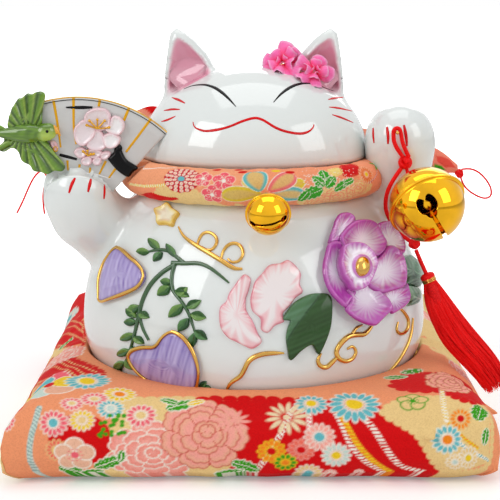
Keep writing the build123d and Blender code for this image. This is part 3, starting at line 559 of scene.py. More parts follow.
# ---------------------------------------------------------------- placing by the front view
picture_size = 500
picture_focus = camera_data.lens / camera_data.sensor_width * picture_size
eye = np.array(camera.location) / MM
view_right = np.array((1.0, 0.0, 0.0))
view_up = np.array((0.0, sin(picture_height_angle), cos(picture_height_angle)))
view_ahead = np.array((0.0, cos(picture_height_angle), -sin(picture_height_angle)))


def sight(view):
    """Unit directions from the eye through places of the front view, across and down from its corner."""
    view = np.asarray(view, float).reshape(-1, 2) - picture_size / 2
    ways = view_ahead + view[:, :1] / picture_focus * view_right - view[:, 1:] / picture_focus * view_up
    return ways / length(*ways.T)[:, None]


def shown_at(points):
    """Places of the front view at which points show, and how far ahead of the eye they are."""
    gaze = points - eye
    ahead = gaze @ view_ahead
    across = picture_size / 2 + picture_focus * (gaze @ view_right) / ahead
    down = picture_size / 2 - picture_focus * (gaze @ view_up) / ahead
    return np.stack([across, down], -1), ahead


def seen(view, field):
    """Places of the front view cast onto a form; a line of sight that misses goes to its nearest point."""
    near, far = 780.0, 1250.0
    ways = sight(view)
    reach = np.full(len(ways), near)
    best = reach.copy()
    least = np.full(len(ways), 1e9)
    for _ in range(90):
        gap = field(eye + reach[:, None] * ways)
        closer = gap < least
        least = np.where(closer, gap, least)
        best = np.where(closer, reach, best)
        reach = np.minimum(reach + np.clip(gap, -2, 40) * 0.8, far)
    return onto(field, eye + best[:, None] * ways)


def smooth_line(points, count, closed=False):
    """Even samples of a smooth curve through points."""
    points = np.asarray(points, float)
    if closed:
        ring = np.vstack([points[-1:], points, points[:2]])
        spans = len(points)
    else:
        ring = np.vstack([2 * points[:1] - points[1:2], points, 2 * points[-1:] - points[-2:-1]])
        spans = len(points) - 1
    share = np.linspace(0, spans, 40 * spans + 1)
    index = np.minimum(share.astype(int), spans - 1)
    t = (share - index)[:, None]
    a, b, c, d = (ring[index + step] for step in range(4))
    fine = 0.5 * (2 * b + (c - a) * t + (2 * a - 5 * b + 4 * c - d) * t**2 + (3 * b - a - 3 * c + d) * t**3)
    run = np.concatenate([[0], np.cumsum(length(*np.diff(fine, axis=0).T))])
    wanted = np.linspace(0, run[-1], count, endpoint=not closed)
    return np.stack([np.interp(wanted, run, fine[:, axis]) for axis in range(fine.shape[1])], 1)


def streaks(x, seed, fine=1.0):
    """Brush marks from 0 to 1 that vary along x."""
    marks = np.random.default_rng(seed)
    total = sum(np.sin(x * fine * marks.uniform(0.2, 1.6) + marks.uniform(0, 6.3)) for _ in range(7))
    return np.clip(0.5 + total / 7, 0, 1)


def spread(values, count):
    """Values at even places, drawn out over a count of samples."""
    return np.interp(np.linspace(0, 1, count), np.linspace(0, 1, len(values)), values)


def shade(share, first, second):
    """Colours from first to second by a share for each vertex."""
    share = np.clip(np.asarray(share, float), 0, 1)[:, None]
    return np.asarray(first) * (1 - share) + np.asarray(second) * share


def fade(value, low, high):
    return np.clip((value - low) / (high - low), 0, 1)


def welded(target, verts=None, gap=1e-5):
    """Join the vertices that meet."""
    bmesh.ops.remove_doubles(target, verts=target.verts if verts is None else verts, dist=gap)
    return target


def sheet_mesh(target, points, colours=None):
    """Add a grid of points, painted if colours are given."""
    if colours is not None:
        layers = target.verts.layers.float_color
        layer = layers.get("paint") or layers.new("paint")
    rows, columns = points.shape[:2]
    made = bmesh.ops.create_grid(target, x_segments=columns - 1, y_segments=rows - 1, size=1.0)["verts"]
    for vert in made:
        row, column = round((vert.co.y + 1) / 2 * (rows - 1)), round((vert.co.x + 1) / 2 * (columns - 1))
        vert.co = points[row, column] * MM
        if colours is not None:
            vert[layer] = (*colours[row, column], 1.0)
    return made


def web(target, outline, centre, field, top, colour, floor=-0.8, edge=1.5, rings=14, segments=72):
    """Add a pressed piece or petal: a web of rings inside an outline of the front view, cast onto a form.

    top gives the height of the face above the form, floor the underside: a height, or minus a thickness.
    colour paints the face. Both read a dict of distance to the edge, share of the way out, turn and place.
    """
    least_thickness = 0.9
    has_height = floor > -least_thickness
    rim = smooth_line(outline, segments, closed=True)
    centre = np.asarray(centre, float)
    out = np.sqrt(np.linspace(0, 1, rings))
    out = np.concatenate([out[:-1], [0.985, 1.0]]) if rings > 6 else out
    shares = np.concatenate([out, out[::-1][1:]])
    is_face = np.arange(len(shares)) < len(out)
    flat = centre + shares[:, None, None] * (rim - centre)
    flat = np.concatenate([flat, flat[:, :1]], 1)
    rows, columns = flat.shape[:2]
    base = seen(flat.reshape(-1, 2), field)
    way, _ = slope(field, base)
    rim_points = base.reshape(rows, columns, 3)[len(out) - 1]
    away = np.min(np.linalg.norm(base[:, None, :] - rim_points[None, :, :], axis=2), axis=1)
    turn = np.arctan2(flat[..., 1] - centre[1], flat[..., 0] - centre[0]).ravel()
    facts = {"edge": away, "out": np.repeat(shares, columns), "turn": turn, "x": flat[..., 0].ravel(),
             "y": flat[..., 1].ravel()}
    face_height = np.broadcast_to(top(facts), away.shape)
    bottom = floor if has_height else face_height + floor
    rounding = np.sqrt(1 - (1 - np.clip(away / edge, 0, 1)) ** 2)
    middle = bottom if has_height else bottom - 0.5 * floor
    face = np.repeat(is_face, columns)
    height = middle + (np.where(face, face_height, bottom) - middle) * rounding
    points = base + way * height[:, None]
    made = sheet_mesh(target, points.reshape(rows, columns, 3), colour(facts).reshape(rows, columns, 3))
    return welded(target, made, 1e-6)


def round_lines(name, lines, depth, order, sides, steps):
    """Round-sectioned curve along smooth lines: each a row of points in metres and one of radii per depth."""
    data = bpy.data.curves.new(name, "CURVE")
    data.dimensions = "3D"
    data.bevel_depth = depth
    data.bevel_resolution = sides
    data.use_fill_caps = True
    data.resolution_u = steps
    for points, radii in lines:
        spline = data.splines.new("NURBS")
        spline.points.add(len(points) - 1)
        for vert, point, radius in zip(spline.points, points, radii):
            vert.co = (*point, 1.0)
            vert.radius = radius
        spline.order_u = order
        spline.use_endpoint_u = True
    return data


def drawn(name, lines, material, body, *replaced, sides=3, steps=8):
    """Rods along smooth lines, as one piece: each its points and its radius or radii, in millimetres."""
    lines = [(np.asarray(points) * MM, np.broadcast_to(radii, len(points)) * MM) for points, radii in lines]
    return piece(name, settled(round_lines(name, lines, 1.0, 4, sides, steps)), material, body, *replaced)


def raised_lines(lines, lift):
    """Lines of the front view cast onto the body and raised: their points and radii."""
    rods = []
    for view_points, radii in lines:
        points = seen(smooth_line(view_points, 3 * len(view_points)), body_field)
        way, _ = slope(body_field, points)
        rods.append((points + way * lift, spread(radii, len(points))))
    return rods


def band_lanes(view_points, widths, field, count, lanes):
    """Lanes beside a line of the front view cast onto a form, and the ways off the form at its points."""
    points = seen(smooth_line(view_points, count), field)
    way, _ = slope(field, points)
    along = np.gradient(points, axis=0)
    along /= length(*along.T)[:, None]
    half = spread(widths, count) / 2
    return points[:, None] + np.cross(way, along)[:, None] * (half[:, None] * np.array(lanes))[..., None], way


def stroke(target, view_points, widths, field, count=36):
    """Add a brushed enamel line: a thin strip on a form with a width at each of its places."""
    thick = 0.28
    places, _ = band_lanes(view_points, widths, field, count, (-1.0, -0.55, 0.0, 0.55, 1.0, 0.0, -1.0))
    lifts = thick * np.array([0.0, 0.85, 1.0, 0.85, 0.0, -1.0, 0.0])
    places = onto(field, places.reshape(-1, 3), np.tile(lifts, count), rounds=2).reshape(count, 7, 3)
    made = sheet_mesh(target, places.swapaxes(0, 1))
    welded(target, made, 1e-6)


# ---------------------------------------------------------------- painted face and paws
eye_lines = [
    ([(184, 89), (193, 85.6), (203.6, 84.7), (212, 86.5), (220, 91), (228, 98), (236, 106.6)],
     (0.6, 1.6, 2.4, 2.8, 2.6, 1.8, 0.6)),
    ([(273.5, 102.3), (280, 95), (287, 89.4), (295, 85.2), (303.5, 83.3), (312, 83.6), (320, 86), (333, 91)],
     (0.6, 1.7, 2.6, 2.8, 2.6, 2.2, 1.4, 0.6)),
]
mouth_line = [
    (193, 122), (194, 126), (197, 128.6), (202, 130.4), (207, 131), (218, 129.6), (229.5, 126.5), (243, 121),
    (254.5, 118), (262, 119.6), (268, 123), (275, 127.3), (283, 130.6), (292, 132.8), (300, 133.6),
    (306, 132.6), (310, 130.6), (313, 127.5), (314, 124.5),
]
whisker_lines = [
    [(172, 97.5), (178, 99.6), (185, 103.2)], [(164, 110.5), (172, 109.3), (180, 109.5)],
    [(161.5, 121.5), (168, 119.6), (175.5, 116.2)], [(328, 99.5), (336, 97.8), (343, 97.2)],
    [(329, 107), (340, 108.2), (352, 111)], [(332, 114.6), (342, 117.8), (353, 122.4)],
]
claw_lines = [
    [(373, 128), (373.2, 136), (374, 143)], [(387, 127), (388, 136), (388, 144)],
    [(404, 125), (406, 136), (407, 146)],
    [(75, 178), (71.5, 185), (69, 193)], [(91, 179), (89.4, 186), (88, 192)],
    [(104.5, 183), (104.6, 191), (104, 199)],
]
eyes = bmesh.new()
for view_points, widths in eye_lines:
    stroke(eyes, view_points, widths, head_field)
piece("eye_lines", eyes, black_enamel, "cat")
mouth = bmesh.new()
stroke(mouth, mouth_line, (0.7, 1.7, 2.2, 1.9, 2.1, 2.2, 2.0, 2.1, 2.0, 2.0, 0.8), head_field, count=70)
for view_points in whisker_lines:
    stroke(mouth, view_points, (0.8, 2.2, 1.9, 0.9), head_field, count=14)
for view_points in claw_lines:
    stroke(mouth, view_points, (1.6, 2.6, 2.3, 1.4), body_field, count=14)
piece("mouth_whisker_and_claw_lines", mouth, red_enamel, "cat")

# ---------------------------------------------------------------- violet leaves with gilt rims
petal_enamel = glaze("petal_enamel", roughness=0.06)
leaf_enamel = glaze("leaf_enamel", roughness=0.1, coat=0.0, ripple=0.05, index=1.38)


def violet_face(seed):
    light, deep, pale = rgb(186, 170, 222), rgb(124, 100, 178), rgb(214, 204, 236)

    def colour(facts):
        marks = streaks(facts["x"] * 0.9 + facts["y"] * 0.25, seed, 1.4)
        tint = shade(marks, light, deep)
        tint = shade(0.6 * streaks(facts["x"] * 1.2, seed + 3, 1.0) * fade(facts["y"], facts["y"].min(),
            facts["y"].max()), tint, pale)
        return shade(fade(3.2 - facts["edge"], 0, 2.2) * 0.7, tint, deep)

    return colour


def swollen(height, spread=8.0, rest=0.72):
    """A cushioned face: lower at its edge and full in the middle."""
    return lambda facts: height * (rest + (1 - rest) * fade(facts["edge"], 0, spread))


violet_upper = [
    (120, 249), (127, 253), (134, 259.5), (139, 263.5), (145, 271), (146, 279), (140, 288), (128, 294),
    (114, 299), (103.5, 302), (102.5, 293), (103, 280), (107, 266), (113, 255),
]
violet_lower = [
    (174, 331), (184, 336), (192, 346), (198, 360), (200, 372), (198, 384), (194.5, 393.5), (182, 391),
    (163, 384), (146, 375), (136, 365), (131.5, 355), (136, 349), (146, 346.5), (156, 346.5), (160, 343),
    (165, 336),
]
for name, outline, centre, seed in (
    ("violet_leaf_upper", violet_upper, (122, 276), 11),
    ("violet_leaf_lower", violet_lower, (174, 364), 12),
):
    leaf = bmesh.new()
    web(leaf, outline, centre, body_field, swollen(5.2), violet_face(seed), edge=2.4, rings=22, segments=110)
    piece(name, leaf, petal_enamel, "cat", name)
    rim = smooth_line(outline, 48, closed=True)
    rim_points = seen(rim, body_field)
    way, _ = slope(body_field, rim_points)
    rim_points = rim_points + way * 3.6
    rim_points = np.vstack([rim_points, rim_points[:4]])
    thickness = 1.35 + 0.3 * np.sin(np.linspace(0, 19, len(rim_points)))
    drawn(name + "_rim", [(rim_points, thickness)], lustre, "cat")

# ---------------------------------------------------------------- pink peony in low relief
pink_pale, pink_deep, pink_white = rgb(244, 196, 200), rgb(226, 120, 140), rgb(246, 236, 236)


def peony_face(seed):
    def colour(facts):
        marks = streaks(facts["turn"] * 9 + facts["x"] * 0.15, seed, 2.0)
        reach = 3.5 + 7.5 * marks
        tint = shade(fade(reach - facts["edge"], 0, 6), pink_white, pink_pale)
        return shade(fade(1.6 + 1.6 * marks - facts["edge"], 0, 1.6) * 0.75, tint, pink_deep)

    return colour


peony_left = [
    (245, 274), (251, 279), (249, 290), (246, 300), (247, 311), (253, 321), (258, 333), (262, 342),
    (253, 349), (244, 346), (236, 342), (228, 338), (221, 329), (219, 318), (220, 307), (226, 301),
    (229, 293), (234, 286), (239, 279),
]
peony_right = [
    (296, 266), (301, 274), (300, 284), (303, 292), (296, 298), (290, 306), (283, 314), (284, 322),
    (275, 326), (268, 333), (261, 330), (260, 319), (252, 311), (250, 300), (252, 290), (255, 281),
    (262, 273), (269, 265), (280, 263), (288, 260),
]
peony = bmesh.new()
web(peony, peony_left, (237, 314), body_field, swollen(3.0), peony_face(21), edge=2.0, rings=20, segments=110)
web(peony, peony_right, (274, 293), body_field, swollen(3.2), peony_face(22), edge=2.0, rings=20,
    segments=110)
piece("pink_peony", peony, petal_enamel, "cat", "pink_petals")

# ---------------------------------------------------------------- large green leaf
leaf_dark, leaf_mid, leaf_light = rgb(38, 66, 26), rgb(66, 108, 60), rgb(120, 160, 134)


def large_leaf_face(facts):
    vein = facts["x"] - (318 - 0.62 * (facts["y"] - 293) + 2.5 * np.sin(facts["y"] / 14))
    tint = shade(fade(vein, -2, 2), leaf_mid, leaf_dark)
    tint = shade(0.55 * streaks(facts["y"] * 0.7 + facts["x"] * 0.3, 31, 1.2), tint,
                 shade(fade(vein, -2, 2), leaf_light, leaf_mid))
    return shade(fade(1.4 - np.abs(vein), 0, 1.2) * 0.6, tint, rgb(24, 44, 18))


def large_leaf_top(facts):
    vein = np.abs(facts["x"] - (318 - 0.62 * (facts["y"] - 293) + 2.5 * np.sin(facts["y"] / 14)))
    return 2.6 + 1.9 * fade(vein, 0, 7) - 0.5 * fade(9 - facts["edge"], 0, 9)


green_outline = [
    (324, 293), (329, 296), (331, 303), (331, 316), (329.5, 328), (325, 341), (318, 354), (314, 349),
    (310, 345), (300, 351), (289.5, 360), (287, 350), (285.5, 338), (287, 328), (289.4, 321), (282, 319),
    (288, 309), (295.5, 301), (309, 294),
]
green = bmesh.new()
web(green, green_outline, (308, 322), body_field, large_leaf_top, large_leaf_face, edge=1.6, rings=20,
    segments=110)
piece("green_leaf", green, leaf_enamel, "cat", "green_leaf")

# ---------------------------------------------------------------- yellow blossom
star_outline = [
    (167 + reach * sin(radians(turn)) * 1.02, 216 - reach * cos(radians(turn)) * 0.95)
    for turn, reach in ((8 + 36 * number, 13.2 if number % 2 == 0 else 10.2) for number in range(10))
]


def star_face(facts):
    tint = shade(fade(facts["out"], 0.45, 0.8), rgb(250, 244, 214), rgb(246, 226, 130))
    return shade(fade(2.2 - facts["edge"], 0, 1.4), tint, rgb(226, 178, 60))


star = bmesh.new()
web(star, star_outline, (167, 216), body_field, lambda facts: 3.2 - 1.4 * fade(facts["edge"], 1.5, 5),
    star_face, edge=1.6, segments=60)
piece("yellow_blossom", star, petal_enamel, "cat", "yellow_blossom")

# ---------------------------------------------------------------- vine
stem_lines = [
    ([(229, 283), (222, 277), (210, 268), (199, 263.5), (185, 263.5), (172, 263)],
     (0.7, 1.2, 1.4, 1.6, 1.6, 1.7)),
    ([(185, 263.5), (178, 258), (168, 251), (158, 250), (148, 252)], (1.5, 1.5, 1.4, 1.3, 0.8)),
    ([(176, 264), (162, 273), (150, 286), (142, 303), (138, 321), (133, 341), (128, 357), (121, 370)],
     (1.7, 1.8, 1.8, 1.7, 1.6, 1.4, 1.2, 0.7)),
    ([(143, 301), (140, 314), (143, 328), (149, 340)], (1.4, 1.4, 1.3, 1.1)),
    ([(175, 264), (172, 276), (173, 290), (182, 302), (189, 314), (195, 332)],
     (1.6, 1.5, 1.4, 1.3, 1.2, 0.8)),
]
stem_green = glaze("stem_enamel", rgb(46, 92, 44), roughness=0.1)
drawn("vine_stems", raised_lines(stem_lines, 0.35), stem_green, "cat", "vine_stems")

vine_leaf_rows = [  # foot and tip in the front view, and width
    ((160, 250), (148, 238), 9), ((150, 252), (136, 252), 8), ((163, 252), (153, 262), 8),
    ((176, 258), (166, 243), 8),
    ((171, 286), (157, 296), 11), ((172, 283), (160, 281), 9), ((176, 296), (188, 287), 10),
    ((175, 290), (190, 297), 9),
    ((184, 304), (168, 318), 11), ((186, 308), (202, 300), 10), ((190, 314), (207, 318), 11),
    ((189, 318), (178, 332), 11),
    ((194, 330), (208, 340), 10), ((195, 332), (190, 350), 10),
    ((140, 306), (128, 312), 10), ((139, 312), (150, 318), 9), ((137, 322), (124, 322), 9),
    ((137, 318), (126, 308), 8),
    ((135, 334), (120, 340), 9), ((134, 336), (145, 344), 8), ((130, 350), (117, 355), 9),
    ((131, 346), (139, 357), 8),
    ((125, 362), (114, 368), 9), ((126, 358), (134, 370), 8), ((121, 370), (122, 383), 8),
    ((202, 386), (213, 393), 9), ((199, 388), (207, 381), 7),
]


def small_leaf(target, foot, tip, width, seed):
    """Add a vine leaf, creased along its middle and brushed in two greens."""
    foot, tip = np.array(foot, float), np.array(tip, float)
    along = tip - foot
    span = hypot(*along)
    along /= span
    across = np.array((-along[1], along[0]))
    sides = [(0, 0), (0.18, 0.62), (0.42, 1.0), (0.68, 0.78), (0.9, 0.3), (1.0, 0.0)]
    right = [foot + along * span * run + across * width / 2 * out for run, out in sides]
    left = [foot + along * span * run - across * width / 2 * out for run, out in sides[1:-1]]
    tone = np.random.default_rng(seed).uniform(-1, 1)
    deep = rgb(40 + 8 * tone, 84 + 10 * tone, 38)
    light = rgb(108 + 20 * tone, 152 + 14 * tone, 84)

    def off_middle(facts):
        place = np.stack([facts["x"], facts["y"]], 1) - foot
        return place @ across

    def top(facts):
        return 1.3 + 1.3 * fade(np.abs(off_middle(facts)), 0, width * 0.3)

    def colour(facts):
        side = off_middle(facts)
        tint = shade(fade(side, -0.6, 0.6), deep, light)
        return shade(0.4 * streaks(facts["x"] + facts["y"], seed, 1.5), tint, deep)

    web(target, right + left[::-1], foot + along * span * 0.45, body_field, top, colour, edge=1.2, rings=6,
        segments=26)


leaves = bmesh.new()
for number, (foot, tip, width) in enumerate(vine_leaf_rows):
    small_leaf(leaves, foot, tip, width, 100 + number)
piece("vine_leaves", leaves, leaf_enamel, "cat", "vine_leaves")

# ---------------------------------------------------------------- gilt tendrils, scrolls and hem lines
tendril_lines = [
    ([(178.6, 227), (181, 232), (185, 237.5), (194.7, 244.5), (208.7, 253), (221.4, 260.7), (234, 268.4),
      (242.4, 269)], (0.6, 1.1, 1.6, 1.8, 1.8, 1.8, 1.7, 0.9)),
    ([(197, 247), (199, 240), (203, 234), (209, 232.6), (215, 236), (217, 242), (213, 249), (207, 250),
      (202, 247)], (0.8, 1.0, 1.1, 1.2, 1.2, 1.2, 1.1, 1.0, 0.8)),
    ([(221, 260), (223, 252), (228, 245.5), (235, 243.4), (241, 247), (243, 254), (239, 261), (232, 262.4),
      (228, 259)], (0.8, 1.0, 1.2, 1.3, 1.3, 1.2, 1.1, 1.0, 0.8)),
]
scroll_lines = [
    ([(374, 322), (370, 328), (364, 334), (356, 334.6), (348, 336.6), (340, 344), (336, 352), (339.4, 359),
      (346.5, 361), (353, 357.6), (355.6, 351), (352, 346), (347, 349)], (0.7, 1.4, 1.9, 2.0, 2.0, 2.0, 1.9,
          1.8, 1.7, 1.5, 1.3, 1.1, 0.8)),
    ([(338, 356), (332, 362), (326, 367), (320, 365.6), (317.6, 360), (321, 353)],
     (1.0, 1.7, 1.9, 1.7, 1.4, 0.7)),
    ([(352, 334), (356, 328), (362, 325)], (1.4, 1.1, 0.6)),
]
small_scroll_lines = [
    ([(399, 308), (404, 313), (407.5, 320), (407, 328), (403.4, 333), (398.6, 333.4), (396, 329),
      (397.5, 322)], (0.8, 1.3, 1.5, 1.6, 1.5, 1.3, 1.1, 0.7)),
]
hem_lines = [
    ([(284, 353), (274, 353), (263, 354), (254, 357), (248, 362), (244.5, 369), (240.4, 376), (233, 381),
      (228.4, 386), (226, 393)], (0.6, 1.5, 1.8, 1.9, 1.9, 1.8, 1.8, 1.6, 1.3, 0.7)),
    ([(412.5, 318), (411, 331), (407.5, 343), (402, 354), (396, 363), (387, 373), (376, 381)],
     (0.7, 1.3, 1.5, 1.5, 1.5, 1.3, 0.7)),
    ([(420, 352), (412, 366), (401, 378), (390, 386)], (0.6, 1.1, 1.1, 0.6)),
]


for name, lines in (
    ("gilt_tendril", tendril_lines), ("gilt_scroll", scroll_lines), ("gilt_scroll_small", small_scroll_lines),
    ("gilt_hem", hem_lines),
):
    drawn(name, raised_lines(lines, 0.5), lustre, "cat", name)

# ---------------------------------------------------------------- printed cloth
def outside(u, v, corners):
    """Distance outside a closed outline of the flat cloth, negative inside."""
    corners = np.asarray(corners, float)
    inside = np.zeros(u.shape, bool)
    nearest = np.full(u.shape, 1e9)
    for (x0, y0), (x1, y1) in zip(corners, np.roll(corners, -1, axis=0)):
        dx, dy = x1 - x0, y1 - y0
        share = np.clip(((u - x0) * dx + (v - y0) * dy) / (dx * dx + dy * dy + 1e-9), 0, 1)
        nearest = np.minimum(nearest, length(u - x0 - share * dx, v - y0 - share * dy))
        crossed = ((y0 > v) != (y1 > v)) & (u < x0 + (v - y0) * dx / (dy if dy else 1e-9))
        inside ^= crossed
    return np.where(inside, -nearest, nearest)


def lobes(x, y, count, middle, half, width):
    """Distance outside a ring of round-ended petals at a middle radius, of half a length and half a width."""
    r = length(x, y)
    turn = np.arctan2(y, x) * count / (2 * pi)
    off = (turn - np.round(turn)) * 2 * pi / count
    return (length((r * np.cos(off) - middle) / half, r * np.sin(off) / width) - 1) * width


class Print:
    """A cloth surface and the pattern printed on it, in the flat cloth's own coordinates in millimetres."""

    def __init__(self, points, u, v, ground, blur=0.9, line_scale=1.0):
        self.u, self.v = u, v
        self.blur = blur
        self.line_scale = line_scale
        self.colour = np.broadcast_to(np.asarray(ground, float), (*u.shape, 3)).copy()
        across = np.gradient(points, axis=1)
        along = np.gradient(points, axis=0)
        normal = np.cross(across, along)
        self.view, self.depth = shown_at(points)
        facing = np.einsum("rck,rck->rc", normal, points - eye)
        self.hidden = np.where(facing * np.sign(facing.flat[np.argmin(self.depth)]) > 0, 0.0, 400.0)

    def spot(self, across, down):
        """Flat coordinates of the nearest printed point that shows at a place of the front view."""
        gap = length(self.view[..., 0] - across, self.view[..., 1] - down)
        near = gap + self.hidden + 0.02 * (self.depth - self.depth.min())
        place = np.unravel_index(np.argmin(near), near.shape)
        return np.array((self.u[place], self.v[place]))

    def spots(self, *places):
        return [tuple(self.spot(*place)) for place in places]

    def window(self, centre, reach):
        """Rows and columns within reach of a centre, as slices, and the offsets of their points."""
        rows = np.where(np.any(np.abs(self.v - centre[1]) < reach, axis=1))[0]
        columns = np.where(np.any(np.abs(self.u - centre[0]) < reach, axis=0))[0]
        part = np.s_[0:0, 0:0]
        if len(rows) and len(columns):
            part = np.s_[rows[0]:rows[-1] + 1, columns[0]:columns[-1] + 1]
        return part, self.u[part] - centre[0], self.v[part] - centre[1]

    def lay(self, part, cover, colour):
        """Print a colour over a part by a cover from 0 to 1."""
        cover = np.clip(cover, 0, 1)[..., None]
        self.colour[part] = self.colour[part] * (1 - cover) + np.asarray(colour, float) * cover

    def ink(self, part, away, colour):
        """Print a colour where a distance is negative, with a soft edge."""
        self.lay(part, 0.5 - away / self.blur, colour)

    def zone(self, corners, colour, scallop=0.0):
        """Fill an outline, its edge a row of scallops if they have a size."""
        corners = np.asarray(corners, float)
        away = outside(self.u, self.v, corners)
        if scallop:
            around = np.sum(length(*np.diff(corners, axis=0).T))
            for place in smooth_line(corners, max(8, int(around / (1.6 * scallop))), closed=True):
                away = np.minimum(away, length(self.u - place[0], self.v - place[1]) - scallop)
        self.ink(np.s_[:, :], away, colour)

    def mum(self, centre, radius, fill, line, heart, petals=16, start=0.42):
        """Chrysanthemum: narrow round-ended petals about a heart."""
        part, x, y = self.window(centre, radius + 2)
        middle, half = (1 + start) / 2 * radius, (1 - start) / 2 * radius
        lobe = lobes(x, y, petals, middle, half, pi / petals * middle * 1.02)
        self.ink(part, lobe, fill)
        self.ink(part, np.abs(lobe) - 0.22 * self.line_scale, line)
        disc = length(x, y) - start * radius * 0.85
        self.ink(part, disc, heart)
        self.ink(part, np.abs(disc) - 0.25 * self.line_scale, line)

    def plum(self, centre, radius, fill, line, heart, petals=5, first=90):
        """Plum blossom or large flower of round petals, outlined, with a heart."""
        part, x, y = self.window(centre, radius + 2)
        fills = fill if isinstance(fill, list) else [fill] * petals
        for number in range(petals):
            heading = radians(first + 360 / petals * number)
            petal = length(x - 0.56 * radius * cos(heading), y - 0.56 * radius * sin(heading)) - 0.46 * radius
            self.ink(part, petal, fills[number % len(fills)])
            self.ink(part, np.abs(petal) - 0.45 * self.line_scale, line)
        r = length(x, y)
        self.ink(part, r - 0.2 * radius, heart)
        for number in range(10):
            heading = radians(36 * number)
            dot = length(x - 0.36 * radius * cos(heading), y - 0.36 * radius * sin(heading))
            self.ink(part, dot - 0.5 * self.line_scale, heart)

    def peony(self, centre, half_width, half_height, fill, line, shade_colour, seed=1):
        """Peony: rings of scalloped petals drawn in outline."""
        part, x, y = self.window(centre, max(half_width, half_height) * 1.25)
        marks = np.random.default_rng(seed)
        x, y = x / half_width, y / half_height
        scale = min(half_width, half_height)
        for level, count in ((1.0, 7), (0.78, 7), (0.56, 6), (0.35, 5), (0.18, 3)):
            phase = marks.uniform(0, 2 * pi)
            push_x, push_y = marks.uniform(-0.08, 0.08, 2) * (1.2 - level)
            turn = np.arctan2(y - push_y, x - push_x)
            wave = np.abs(np.sin((turn + phase) * count / 2))
            small = np.abs(np.sin((turn + phase) * count * 1.5))
            edge = level * (0.80 + 0.15 * wave**0.6 + 0.05 * small)
            away = (length(x - push_x, y - push_y) - edge) * scale
            self.ink(part, away, fill)
            self.lay(part, 0.55 * np.clip(1 + away / (0.16 * scale), 0, 1) * (away < 0), shade_colour)
            self.ink(part, np.abs(away) - 0.42 * self.line_scale, line)
            crease = (wave < 0.10) & (away < 0) & (away > -0.22 * scale)
            self.lay(part, crease * 0.9, line)

    def leaf(self, centre, span, width, heading, fill, line):
        """Leaf with a light outline and vein."""
        part, x, y = self.window(centre, span)
        turn = radians(heading)
        along = (x * cos(turn) + y * sin(turn)) / (span / 2)
        across = -x * sin(turn) + y * cos(turn)
        half = width / 2 * np.sqrt(np.clip(1 - along**2, 0, 1)) * (1 + 0.12 * np.sin(14 * along))
        away = np.where(np.abs(along) < 1, np.abs(across) - half, 5.0)
        self.ink(part, away, fill)
        self.ink(part, np.abs(away) - 0.4 * self.line_scale, line)
        self.lay(part, 0.9 * (np.abs(across) < 0.35 * self.line_scale) * (np.abs(along) < 0.9), line)
        veins = np.abs(np.sin((along * span / 2 - np.abs(across)) * 1.1))
        self.lay(part, 0.5 * (veins < 0.16) * (away < 0) * self.line_scale**2, line)

    def rope(self, places, width, first, second, twist=2.6):
        """Twisted two-colour cord, drawn as slanting strokes."""
        line = smooth_line(places, 60)
        reach = np.full(self.u.shape, 1e9)
        side = np.zeros(self.u.shape)
        run = np.zeros(self.u.shape)
        done = 0.0
        for (x0, y0), (x1, y1) in zip(line, line[1:]):
            dx, dy = x1 - x0, y1 - y0
            span = hypot(dx, dy) + 1e-9
            share = np.clip(((self.u - x0) * dx + (self.v - y0) * dy) / span**2, 0, 1)
            away = length(self.u - x0 - share * dx, self.v - y0 - share * dy)
            nearer = away < reach
            reach = np.where(nearer, away, reach)
            side = np.where(nearer, ((self.u - x0) * dy - (self.v - y0) * dx) / span, side)
            run = np.where(nearer, done + share * span, run)
            done += span
        self.ink(np.s_[:, :], reach - width / 2, first)
        strand = np.sin(2 * pi * (run / twist + side / (1.4 * width)))
        self.lay(np.s_[:, :], (reach < width / 2) * fade(strand, 0.1, 0.4), second)

    def burst(self, centre, radius, colour, rays=12):
        """Open star of separate drops."""
        part, x, y = self.window(centre, radius + 2)
        middle = 0.66 * radius
        self.ink(part, lobes(x, y, rays, middle, 0.34 * radius, pi / rays * middle * 0.7), colour)
        self.ink(part, length(x, y) - 0.16 * radius, colour)


ink_red, ink_peach, ink_cream = rgb(218, 4, 10), rgb(248, 158, 112), rgb(242, 208, 142)
ink_white, ink_teal, ink_yellow = rgb(252, 244, 230), rgb(104, 190, 198), rgb(246, 208, 38)
ink_pink, ink_coral, ink_green = rgb(246, 104, 118), rgb(244, 112, 92), rgb(60, 160, 22)
ink_orange, ink_pale, ink_rose = rgb(250, 140, 30), rgb(206, 226, 216), rgb(252, 170, 156)
kinds = [(ink_teal, ink_yellow), (ink_pink, ink_cream), (ink_yellow, ink_orange), (ink_coral, ink_yellow),
         (ink_pale, ink_teal)]


def scattered(cloth, place, number, draws, peony, leaf, mum, plum=0):
    """Print the next motif of a scatter, by sizes: in turn a peony, a leaf and two round flowers."""
    fill, heart = kinds[draws.integers(len(kinds))]
    if number % 4 == 0:
        cloth.peony(place, *peony, ink_rose, ink_white, ink_coral, number)
    elif number % 4 == 1:
        cloth.leaf(place, *leaf, draws.uniform(0, 180), ink_green, ink_white)
    elif plum and number % 8 == 2:
        cloth.plum(place, plum, fill, ink_white, heart)
    else:
        cloth.mum(place, draws.uniform(*mum), fill, ink_white, heart)

# ---------------------------------------------------------------- stuffed cushion
cushion_half = 174.0
cushion_draw = 1.0
cloth_half = 184.0  # middle of the top sheet to its seam, along the cloth
seam_height = 7.0
edge_rows = np.array([  # along the cloth from the seam, in from the side, height
    (0, 6.0, seam_height), (10, 3.2, 16), (20, 3.5, 25.5), (30, 6.5, 35), (40, 13.0, 42.5), (52, 23.5, 47.5),
    (70, 41.0, 50.0), (184, 174.0, 50.5),
])


